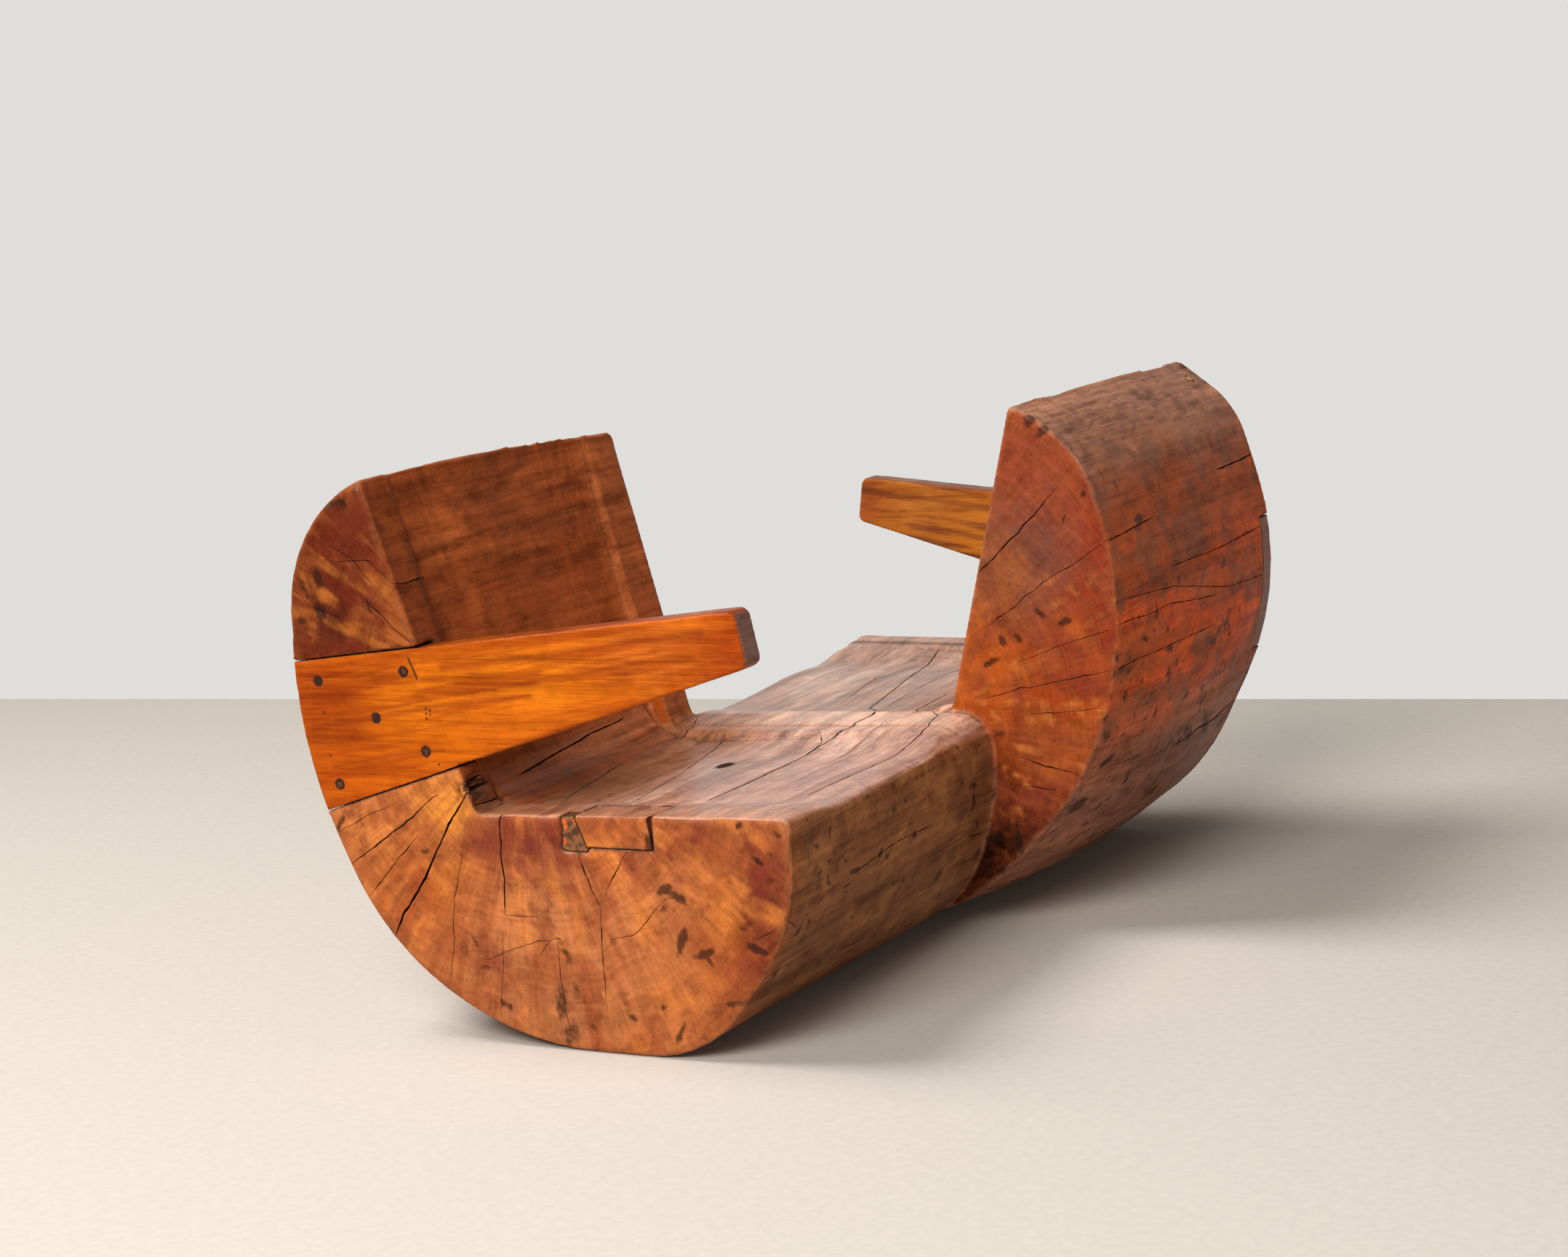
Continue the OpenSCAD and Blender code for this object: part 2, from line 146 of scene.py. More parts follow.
def mesh_arrays(mesh):
    """Points, normals and edges."""
    co, no = (pulled(mesh.vertices, name, np.float32, 3).astype(float) for name in ("co", "normal"))
    return co, no, pulled(mesh.edges, "vertices", width=2)


def move_points(mesh, co):
    mesh.vertices.foreach_set("co", co.astype(np.float32).ravel())
    mesh.update()


def node_mesh(node):
    bm = bmesh.new()
    bm.from_mesh(nodes[node].data)
    return bm


def add_object(name, mesh):
    obj = bpy.data.objects.new(name, mesh)
    bpy.context.scene.collection.objects.link(obj)
    return obj


def neighbours_mean(values, edges):
    shape = (-1,) + (1,) * (values.ndim - 1)
    total = np.zeros_like(values)
    count = np.zeros(len(values))
    for a, b in ((0, 1), (1, 0)):
        if values.ndim == 1:
            total += np.bincount(edges[:, a], values[edges[:, b]], len(values))
        else:
            for k in range(values.shape[1]):
                total[:, k] += np.bincount(edges[:, a], values[edges[:, b], k], len(values))
        count += np.bincount(edges[:, a], minlength=len(values))
    return total / np.maximum(count, 1).reshape(shape)


def smoothed(co, edges, share, rounds):
    """Points drawn to their neighbours' mean at each round by their share, and only those that have one."""
    moving = share > 0.01
    near = edges[moving[edges].any(1)]
    used, index = np.unique(near, return_inverse=True)
    index = index.reshape(-1, 2)
    part, weight = co[used], np.where(moving[used], share[used], 0)[:, None]
    for _ in range(rounds):
        part = part + (neighbours_mean(part, index) - part) * weight
    co = co.copy()
    co[used] = part
    return co


def surface(points, mesh):
    return BVHTree.FromPolygons(points, [tuple(p.vertices) for p in mesh.polygons])


def gap_to(co, names, reach=0.01):
    """How far each point is from the surfaces of the named CAD nodes, where that is less than reach."""
    gap = np.full(len(co), reach)
    for node in names:
        mesh = nodes[node].data
        tree = surface([tuple(v.co) for v in mesh.vertices], mesh)
        low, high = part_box(node)
        for i in np.flatnonzero(((co > np.array(low) - reach) & (co < np.array(high) + reach)).all(1)):
            distance = tree.find_nearest(Vector(co[i]), reach)[3]
            if distance is not None:
                gap[i] = min(gap[i], distance)
    return gap


def skinned(name, bm, voxel, rounds=3, beside=()):
    """An even skin over everything in bm, laid on its surfaces, with edges rounded over a few millimetres.
    Edges close to a piece named in beside stay sharper."""
    tree = BVHTree.FromBMesh(bm)
    mesh = bpy.data.meshes.new(name)
    bm.to_mesh(mesh)
    bm.free()
    obj = add_object(name, mesh)
    modifier = obj.modifiers.new("skin", "REMESH")
    modifier.mode = "VOXEL"
    modifier.voxel_size = voxel
    modifier.use_smooth_shade = True
    new = bpy.data.meshes.new_from_object(obj.evaluated_get(bpy.context.evaluated_depsgraph_get()))
    obj.modifiers.clear()
    obj.data = new
    bpy.data.meshes.remove(mesh)
    co, _, edges = mesh_arrays(new)
    for _ in range(rounds):
        co = 0.5 * co + 0.5 * neighbours_mean(co, edges)
    on = np.array([tree.find_nearest(Vector(p))[0] for p in co])
    off = np.linalg.norm(on - co, axis=1)
    keep = ramp(voxel * 0.28, voxel * 0.12, off)
    gap = gap_to(co, beside)
    tight = ramp(0.007, 0.004, gap)
    keep = np.maximum(keep, tight)[:, None]
    co = co * (1 - keep) + on * keep
    loose = (1 - keep[:, 0]) * (1 - tight)
    for _ in range(2):
        loose = np.maximum(loose, neighbours_mean(loose, edges)) * (1 - tight)
    co = smoothed(co, edges, 0.5 * loose, 9)
    move_points(new, co)
    if beside:
        set_value(new, "joint", ramp(0.0045, 0.0015, gap))
        set_value(new, "without_wear_and_highlight", ramp(0.0098, 0.0075, gap))
    return obj


def set_colour(mesh, name, rgb):
    attribute = mesh.attributes.new(name, "FLOAT_COLOR", "POINT")
    data = np.ones((len(rgb), 4), np.float32)
    data[:, :3] = rgb
    attribute.data.foreach_set("color", data.ravel())


def set_value(mesh, name, values):
    attribute = mesh.attributes.get(name) or mesh.attributes.new(name, "FLOAT", "POINT")
    attribute.data.foreach_set("value", np.asarray(values, np.float32))


def wear_lips(mesh):
    """Rounds the open edge of each dished seat, as use has."""
    co, no, edges = mesh_arrays(mesh)
    x, y, z = half_turned(co, no)[0].T
    worn = ramp(-0.13, -0.17, y) * ramp(0.29, 0.31, z) * ramp(0.42, 0.4, z)
    worn = worn * ramp(-0.712, -0.69, x) * ramp(-0.005, -0.03, x)
    move_points(mesh, smoothed(co, edges, 0.6 * worn, 40))


def get_value(mesh, name):
    return pulled(mesh.attributes[name].data, "value", np.float32).astype(float)


def note_bend(mesh):
    """Notes how hollow or sharp the surface is at each point, before anything is cut into it."""
    co, no, edges = mesh_arrays(mesh)
    length = np.linalg.norm(co[edges[:, 0]] - co[edges[:, 1]], axis=1)
    bend = ((neighbours_mean(co, edges) - co) * no).sum(1) / np.median(length)
    for _ in range(2):
        bend = 0.5 * bend + 0.5 * neighbours_mean(bend, edges)
    set_value(mesh, "bend", bend)
    near_edge = ramp(0.04, 0.14, -bend)
    for _ in range(9):
        near_edge = np.minimum(np.maximum(near_edge, 1.35 * neighbours_mean(near_edge, edges)), 1)
    set_value(mesh, "near_edge", near_edge)


# Cracks
# Each crack: width and depth in mm, then points in mm close to the surface, where y and z alone lie on the
# near end face. Cracks of the first list are repeated with another course after half a turn of the log.

END_CRACKS = [
    (3.4, 9, [(-720, 229, 388), (238, 377), (283, 311), (320, 253), (350, 211), (384, 160)]),
    (1.6, 4, [(281, 382), (336, 347), (393, 308), (-722, 458, 266)]),
    (1.2, 3, [(324, 319), (380, 265), (428, 217)]),
    (0.9, 2, [(246, 297), (270, 220), (278, 142), (290, 92)]),
    (2.2, 6, [(-700, 172, 357), (-721, 173, 355), (177, 301), (177, 260), (179, 203)]),
    (0.9, 2, [(179, 203), (154, 202), (125, 203)]),
    (2.0, 5, [(39, 305), (29, 268), (11, 227)]),
    (1.1, 2, [(11, 227), (12, 155), (12, 105), (13, 70)]),
    (1.1, 3, [(-46, 311), (-23, 276), (-2, 243)]),
    (1.0, 2, [(91, 165), (89, 110), (81, 25)]),
    (0.8, 2, [(224, 131), (172, 150), (123, 166), (82, 171)]),
    (0.8, 2, [(187, 174), (203, 41)]),
    (0.9, 2, [(480, 316), (426, 338), (368, 363)]),
    (0.9, 2, [(-252, 191), (-281, 207)]),
    (0.8, 2, [(-4, 176), (-47, 188), (-111, 246)]),
    (0.9, 2, [(123, 143), (103, 167)]),
    (1.5, 4, [(10, -434, 732), (10, -359, 660), (10, -296, 600), (12, -281, 585)]),
    (1.0, 3, [(10, -505, 643), (10, -455, 616), (10, -394, 578), (10, -295, 507)]),
    (0.8, 2, [(10, -511, 505), (10, -434, 484), (10, -350, 452)]),
    (0.9, 2, [(10, -503, 439), (10, -377, 414), (10, -286, 390)]),
    (0.9, 2, [(10, -493, 378), (10, -362, 367)]),
    (1.2, 3, [(10, -442, 268), (10, -391, 282), (10, -339, 295)]),
    (1.2, 3, [(10, -400, 244), (10, -344, 247)]),
    (1.1, 2, [(10, -441, 673), (10, -447, 691)]),
    (1.7, 5, [(11, -511, 647), (91, -515, 650), (223, -515, 656)]),
    (1.2, 3, [(248, -529, 569), (399, -531, 566), (530, -531, 566), (690, -528, 570)]),
    (1.0, 3, [(11, -522, 514), (150, -529, 508), (235, -531, 509), (430, -532, 489)]),
    (0.9, 3, [(48, -526, 549), (239, -531, 537), (496, -532, 492), (675, -529, 482)]),
    (1.1, 3, [(11, -511, 439), (105, -519, 442), (239, -525, 441), (437, -527, 436)]),
    (2.0, 6, [(722, -500, 690), (620, -505, 689), (535, -505, 689)]),
    (3.0, 7, [(397, -451, 229), (522, -452, 234), (618, -448, 232), (720, -450, 247)]),
    (0.9, 2, [(20, -437, 248), (124, -453, 259), (230, -457, 252)]),
    (1.3, 3, [(-508, -301, 235), (-452, -302, 241), (-406, -302, 244), (-359, -301, 246), (-232, -297, 241)]),
    (1.5, 3, [(-533, -297, 220), (-514, -297, 221)]),
    (1.5, 3, [(-433, -228, 93), (-357, -228, 89)]),
    (1.7, 4, [(-77, -280, 182), (-13, -276, 172)]),
    (0.9, 2, [(-722, -298, 227), (-672, -290, 197)]),
    (2.2, 6, [(325, 704), (-696, 322, 699), (-625, 338, 696)]),
    (0.9, 2, [(327, 705), (364, 737), (427, 735)]),
    (1.1, 2, [(386, 688), (349, 654), (300, 610)]),
    (0.8, 2, [(505, 690), (489, 670), (428, 649)]),
    (1.0, 2, [(434, 761), (395, 739), (345, 684)]),
]

SEAT_CRACKS = [
    (2.8, 9, [(-557, -85, 349), (-385, -90, 349), (-189, -75, 351), (-102, -90, 365), (-12, -90, 369),
              (60, -70, 360), (90, -65, 350)]),
    (1.8, 6, [(90, -65, 350), (141, -5, 346), (318, 28, 344), (640, 103, 350)]),
    (1.3, 4, [(-578, 36, 347), (-363, 67, 345), (-235, 101, 344), (-125, 129, 355)]),
    (1.6, 5, [(-512, -234, 353), (-344, -239, 353), (-133, -236, 367), (-18, -213, 369), (60, -150, 360)]),
    (1.6, 5, [(60, -150, 360), (125, -103, 348), (277, -91, 345)]),
    (2.2, 6, [(-562, 240, 378), (-442, 249, 386), (-319, 258, 391), (-208, 264, 394)]),
    (1.1, 3, [(-578, 160, 342), (-431, 186, 344), (-319, 201, 348)]),
    (1.3, 3, [(-189, -75, 351), (-155, -70, 355), (-122, -47, 362)]),
    (1.1, 3, [(-140, 142, 346), (-102, 145, 359)]),
    (1.4, 4, [(-168, 208, 350), (-102, 204, 358), (-31, 232, 357)]),
    (2.4, 6, [(-719, -92, 364), (-640, -72, 360), (-588, -53, 351)]),
    (1.0, 3, [(-300, -150, 350), (-180, -146, 356), (-60, -140, 369)]),
    (0.9, 3, [(160, -30, 346), (400, -10, 344), (560, 0, 348)]),
    (0.9, 3, [(180, 70, 344), (420, 110, 344)]),
    (2.0, 5, [(-716, 226, 392), (-690, 232, 389), (-655, 236, 388)]),
    (1.8, 5, [(-716, 215, 371), (-670, 218, 366), (-630, 222, 364)]),
    (1.6, 4, [(-716, 231, 404), (-692, 238, 402), (-668, 242, 404)]),
]


def crack_list():
    rng = np.random.default_rng(31)
    seen, turned = [], []
    for width, depth, points in END_CRACKS:
        points = [p if len(p) == 3 else (NEAR_END, *p) for p in points]
        shift = np.array([0, rng.normal() * 8, rng.normal() * 8])
        seen.append((width, depth, points))
        other = [np.array(p) * (-1, -1, 1) + shift for p in points]
        turned.append((width * rng.uniform(0.6, 1.1), depth, other))
    return seen + SEAT_CRACKS + turned


def jagged(points, rng, step=0.003):
    """A crack's course: close points that wander a little to either side, each with a share of its width."""
    points = np.array(points, float) / 1000
    at = np.concatenate([[0], np.cumsum(np.linalg.norm(np.diff(points, axis=0), axis=1))])
    n = max(3, int(at[-1] / step))
    t = np.linspace(0, at[-1], n)
    reach = np.ptp(points, axis=0)
    calm = 0.4 if reach[0] > 2 * max(reach[1], reach[2]) else 1.0
    line = np.stack([np.interp(t, at, points[:, k]) for k in range(3)], 1)
    drift = np.zeros((n, 3))
    for size, wander in ((0.06, 0.0016), (0.02, 0.0007), (0.007, 0.0004)):
        knots = rng.normal(size=(int(at[-1] / size) + 3, 3)) * wander
        drift += np.stack([np.interp(t / size, np.arange(len(knots)), knots[:, k]) for k in range(3)], 1)
    fade = np.minimum(1, np.minimum(t, at[-1] - t) / 0.01)[:, None]
    line = line + drift * fade * calm
    knots = 0.45 + 0.55 * rng.random(int(at[-1] / 0.012) + 3)
    share = np.interp(t / 0.012, np.arange(len(knots)), knots)
    share = share * np.minimum(1, 0.3 + 0.7 * np.minimum(t, at[-1] - t) / min(0.03, at[-1] / 3))
    return line, share


def crack_courses(tree, cracks, seed=5):
    """All cracks laid on the surface: points, half widths and depths in metres."""
    rng = np.random.default_rng(seed)
    dense = []
    for width, depth, points in cracks:
        line, share = jagged(points, rng)
        last = None
        for p, s in zip(line, share):
            hit = tree.find_nearest(Vector(p))[0]
            if hit is None or (hit - Vector(p)).length > 0.03:
                last = None
                continue
            here = (hit, (width + 0.15) * s / 2000, depth * s / 1000)
            if last is not None and (hit - last[0]).length < 0.015:
                for j in range(5):
                    dense.append((last[0].lerp(hit, j / 5), last[1] + (here[1] - last[1]) * j / 5,
                                  last[2] + (here[2] - last[2]) * j / 5))
            last = here
    return dense


def crack_reach(co, courses, reach):
    """How far each point is beyond the nearest crack's wall, and that crack's half width and depth."""
    kd = KDTree(len(co))
    for i, p in enumerate(co):
        kd.insert(p, i)
    kd.balance()
    beyond = np.full(len(co), 1.0)
    half = np.zeros(len(co))
    depth = np.zeros(len(co))
    for p, w, d in courses:
        for _, i, distance in kd.find_range(p, w + reach):
            if distance - w < beyond[i]:
                beyond[i], half[i], depth[i] = distance - w, w, d
    return beyond, half, depth


def refine(mesh, courses, reaches):
    """Splits the faces beside each crack, closer in at each pass."""
    for reach in reaches:
        co, _, _ = mesh_arrays(mesh)
        near = crack_reach(co, courses, reach)[0] < reach
        vertex, edge = (pulled(mesh.loops, name) for name in ("vertex_index", "edge_index"))
        start, count = (pulled(mesh.polygons, name) for name in ("loop_start", "loop_total"))
        chosen = np.unique(edge[np.repeat(np.logical_or.reduceat(near[vertex], start), count)])
        bm = bmesh.new()
        bm.from_mesh(mesh)
        bm.edges.ensure_lookup_table()
        bmesh.ops.subdivide_edges(bm, edges=[bm.edges[i] for i in chosen], cuts=1, use_grid_fill=True)
        bm.to_mesh(mesh)
        bm.free()
    mesh.polygons.foreach_set("use_smooth", [True] * len(mesh.polygons))


# Colours of the log

# Soft fields of colour on the ends: y and z of the middle, their reach in mm, colour and strength.
# The outer end face of each half, seen with its backrest towards positive Y:
OUTER_FIELDS = [
    (60, 200, 190, 150, (0.58, 0.198, 0.07), 0.9),
    (-20, 338, 60, 16, (0.84, 0.235, 0.045), 0.6),
    (330, 250, 90, 90, (0.41, 0.092, 0.018), 0.9),
    (262, 352, 44, 50, (1.0, 0.37, 0.05), 1.0),
    (380, 320, 90, 40, (0.68, 0.215, 0.052), 0.8),
    (120, 318, 120, 42, (0.235, 0.048, 0.028), 0.95),
    (200, 300, 45, 40, (0.27, 0.056, 0.024), 0.8),
    (-10, 290, 45, 40, (0.66, 0.18, 0.044), 0.8),
    (90, 70, 130, 60, (0.4, 0.132, 0.05), 0.8),
    (-225, 160, 80, 120, (0.32, 0.068, 0.016), 0.95),
    (-275, 270, 50, 80, (0.125, 0.028, 0.012), 0.95),
    (-160, 330, 80, 30, (0.31, 0.07, 0.022), 0.8),
    (-120, 90, 80, 60, (0.54, 0.165, 0.045), 0.7),
    (330, 640, 40, 80, (0.36, 0.092, 0.022), 0.8),
    (370, 800, 60, 40, (0.24, 0.058, 0.016), 0.8),
    (480, 610, 50, 30, (0.26, 0.06, 0.014), 0.8),
    (420, 700, 80, 80, (0.105, 0.018, 0.007), 0.9),
    (450, 640, 60, 50, (0.085, 0.014, 0.007), 0.85),
]
# The inner end face, at the middle of the log
INNER_FIELDS = [
    (400, 760, 190, 110, (0.34, 0.072, 0.028), 1.0),
    (420, 600, 190, 100, (0.165, 0.062, 0.045), 1.0),
    (300, 560, 60, 120, (0.27, 0.075, 0.028), 0.8),
    (270, 440, 80, 70, (0.7, 0.142, 0.01), 1.0),
    (400, 400, 130, 80, (0.38, 0.057, 0.008), 1.0),
    (470, 500, 60, 110, (0.34, 0.05, 0.011), 0.9),
    (340, 270, 120, 80, (0.34, 0.06, 0.012), 0.9),
    # Painted shadow: the low part beside the near half, where its shadow falls, nearly black
    (255, 140, 120, 120, (0.018, 0.005, 0.002), 1.0),
    (500, 650, 40, 200, (0.28, 0.036, 0.012), 0.8),
]

# Marks: y and z of the middle in mm and their size, first on the near end face, then on the far half's
# inner end, then on the outer and front sides, where x comes first
NEAR_DARK = [
    (-282, 279, 9), (-280, 317, 10), (-263, 307, 8), (-233, 209, 9), (-251, 177, 9), (-208, 94, 11),
    (-124, 181, 12), (-161, 164, 11), (-98, 255, 10), (-125, 246, 10), (-98, 226, 8), (93, 74, 18),
    (65, 92, 13), (79, 151, 14), (154, 252, 7), (84, 17, 24), (-84, 80, 7), (-110, 42, 9), (196, 64, 9),
    (-168, 157, 8), (467, 333, 9), (315, 294, 9), (258, 144, 11), (-236, 356, 6), (-298, 347, 6),
    (225, 120, 9), (240, 160, 8), (-30, 60, 7), (40, 40, 8),
]
NEAR_MAROON = [
    (200, 310, 26), (141, 322, 30), (81, 335, 22), (133, 288, 26), (52, 287, 18), (-71, 307, 18),
    (-118, 314, 16), (-50, 292, 14), (-164, 336, 16), (-265, 269, 26), (-289, 303, 20), (-243, 147, 20),
    (-208, 121, 20), (-126, 281, 14), (203, 133, 20),
]
NEAR_GOLD = [
    (237, 403, 14), (268, 342, 22), (306, 376, 26), (25, 317, 18), (-21, 290, 16), (240, 277, 20),
    (145, 177, 18), (50, 202, 20), (-63, 209, 24), (-181, 124, 16), (-107, 89, 22), (-202, 227, 22),
    (164, 216, 16), (301, 264, 22), (-282, 222, 14), (91, 250, 16),
]
SHOULDER_DARK = [
    (491, 696, 14), (464, 657, 13), (416, 825, 12), (376, 846, 9), (373, 671, 12), (462, 709, 11),
    (401, 820, 10), (502, 648, 11), (382, 675, 9),
]
SHOULDER_GOLD = [
    (374, 658, 12), (327, 709, 14), (337, 624, 16), (387, 846, 10), (349, 693, 12), (395, 658, 10),
    (491, 735, 12), (323, 650, 12),
]
FAR_DARK = [
    (-434, 519, 9), (-350, 494, 10), (-323, 488, 9), (-303, 452, 9), (-275, 161, 16), (-283, 104, 20),
    (-329, 157, 14), (-396, 842, 12), (-424, 829, 12), (-479, 723, 12), (-306, 335, 9), (-391, 532, 9),
    (-277, 75, 18),
]
FAR_RED = [
    (-378, 751, 30), (-450, 707, 26), (-458, 416, 30), (-382, 243, 26), (-366, 181, 24), (-351, 789, 24),
    (-277, 424, 20), (-457, 476, 26), (-346, 397, 18),
]
FAR_GOLD = [
    (-261, 462, 20), (-361, 605, 24), (-323, 408, 22), (-372, 343, 20), (-454, 345, 22), (-458, 497, 18),
    (-264, 418, 20), (-390, 271, 16), (-240, 412, 16), (-336, 584, 20), (-348, 430, 16),
]
OUTER_DARK = [
    (31, -514, 435, 16), (72, -514, 427, 12), (40, -480, 328, 18), (82, -407, 199, 24),
    (228, -493, 327, 14), (227, -523, 435, 12), (156, -513, 663, 14), (431, -521, 408, 18),
    (713, -445, 236, 26), (471, -453, 233, 24), (106, -497, 725, 12), (88, -457, 272, 14),
    (76, -504, 387, 13), (126, -524, 471, 12), (173, -403, 177, 18), (692, -432, 210, 20),
    (146, -516, 648, 12), (268, -531, 540, 14), (560, -452, 232, 26), (640, -449, 236, 24),
]
OUTER_RED = [
    (566, -530, 571, 34), (637, -529, 572, 30), (321, -531, 485, 34), (234, -530, 490, 30),
    (473, -532, 551, 34), (153, -529, 527, 30), (551, -529, 456, 36),
]
SIDE_DARK = [
    (-640, -312, 281, 9), (-637, -275, 166, 10), (-466, -311, 341, 12), (-505, -303, 238, 10),
    (-420, -303, 244, 10), (-300, -300, 243, 10),
]


def spots(co, places, push, k=1.0, seed=3):
    """Soft uneven marks, 0 to 1, each stretched its own way and with an outline pushed about."""
    rng = np.random.default_rng(seed)
    total = np.zeros(len(co))
    for *middle, size in places:
        on_face = any(abs(abs(middle[0]) - x) < 2 for x in (-NEAR_END, INNER_END))
        way = rng.normal(size=3) * ((0.05, 1, 1) if on_face else (1.6, 0.3, 0.5))
        way /= np.linalg.norm(way)
        stretch, strength = rng.uniform(0.35, 0.75), rng.uniform(0.6, 1.0)
        off = co - np.array(middle) / 1000
        near = np.flatnonzero((np.abs(off) < size * k * 0.004).all(1))
        off = off[near]
        part = off @ way
        across = np.linalg.norm(off - part[:, None] * way, axis=1)
        d = np.hypot(part * stretch, across / stretch ** 0.5) / (size * k / 1000)
        total[near] = np.maximum(total[near], strength * fading(d + push[near]))
    return total


def both_halves(places):
    return list(places) + [(-x, -y, z, size) for x, y, z, size in places]


def on_ends(near, inner, sides=()):
    """Marks on the near end face, the far half's inner end and the sides, and the same after half a turn."""
    seen = [(NEAR_END, *place) for place in near] + [(INNER_END, *place) for place in inner] + list(sides)
    return both_halves(seen)


def fields(colour, y, z, places, inside, push):
    for middle_y, middle_z, reach_y, reach_z, rgb, k in places:
        d = np.hypot((y * 1000 - middle_y) / reach_y, (z * 1000 - middle_z) / reach_z)
        colour = blend(colour, rgb, inside * k * fading(d + push))
    return colour


def half_turned(co, no):
    """Points and normals seen from each half, with its backrest on the side of positive Y."""
    side = np.where(co[:, 0] < 0, 1.0, -1.0)
    turn = np.stack([side, side, np.ones(len(co))], 1)
    return co * turn, no * turn


def areas(co, no):
    """Places seen from each half, and how much each is on an end, seat, backrest, front or outer side."""
    h, hn = half_turned(co, no)
    x, y, z = h.T
    end = ramp(0.55, 0.85, np.abs(hn[:, 0]))
    seat = ramp(0.45, 0.8, hn[:, 2]) * ramp(0.44, 0.4, z)
    back = ramp(0.31, 0.35, z) * ramp(0.02, 0.1, y) * ramp(-0.15, -0.45, hn[:, 1]) * (1 - end)
    front = ramp(-0.15, -0.21, y) * (1 - end) * (1 - seat)
    outer = (1 - end) * (1 - seat) * (1 - back) * (1 - front)
    return (x, y, z), end, seat, back, front, outer


def grain_colours(co, places, mid, small, push):
    """End grain, streaked along its rays and rings, with a painted shadow low on the far half's inner end."""
    x, y, z = places
    share = (co[:, 0] / HALF)[:, None]
    off_y, off_z = (co[:, 1:] - (np.array(PITH_MID) * (1 + share) - np.array(PITH_NEAR) * share)).T
    round_pith = np.stack([co[:, 0], np.hypot(off_y, off_z), np.arctan2(off_y, -off_z)], 1)
    fan = cloudy(round_pith, (0.3, 0.16, 0.09), 18)
    arcs = cloudy(round_pith, (0.3, 0.013, 0.9), 19)
    rays = cloudy(round_pith, (0.3, 0.09, 0.05), 28)
    outside = (x < -0.4).astype(float)
    lower = ramp(0.62, 0.55, z)
    upper = ramp(0.55, 0.6, z) * outside
    grain = layered(np.tile([0.48, 0.14, 0.042], (len(co), 1)), [
        ((0.32, 0.072, 0.02), 1 - outside),
        ((0.24, 0.054, 0.014), ramp(0.48, 0.56, z) * outside),
    ])
    grain = fields(grain, y, z, OUTER_FIELDS, outside, push)
    grain = fields(grain, y, z, INNER_FIELDS, 1 - outside, push)
    grain = layered(grain, [
        ((0.34, 0.075, 0.024), ramp(0.52, 0.66, fan) * 0.4 * lower),
        ((0.28, 0.055, 0.02), ramp(0.54, 0.62, mid) * (0.15 + 0.3 * lower)),
        ((0.22, 0.05, 0.02), ramp(0.58, 0.68, small) * 0.4),
        ((0.7, 0.215, 0.046), ramp(0.48, 0.34, fan) * ramp(0.44, 0.6, small) * 0.5 * lower),
        ((0.58, 0.175, 0.026), ramp(0.49, 0.68, rays) * (0.12 + 0.34 * ramp(0.35, 0.6, small)) * upper),
        ((0.13, 0.018, 0.008), ramp(0.48, 0.36, rays) * 0.7 * upper),
    ])
    grain = grain * (0.89 + 0.22 * arcs)[:, None]
    # Painted shadow on the far half's inner end, low down beside the near half
    low = np.hypot((y - 0.25) / 0.1, (z - 0.13) / 0.11) + push
    return layered(grain, [
        ((0.2, 0.032, 0.02), spots(co, on_ends(NEAR_MAROON, FAR_RED), push, 1.15, 5) * 0.68),
        ((0.8, 0.25, 0.045), spots(co, on_ends(NEAR_GOLD, []), push, 1.0, 7) * 0.52),
        ((0.55, 0.15, 0.03), spots(co, on_ends(SHOULDER_GOLD, FAR_GOLD), push, 1.2, 8) * 0.38),
        ((0.022, 0.006, 0.003), (1 - outside) * fading(low) * 0.8),
    ])


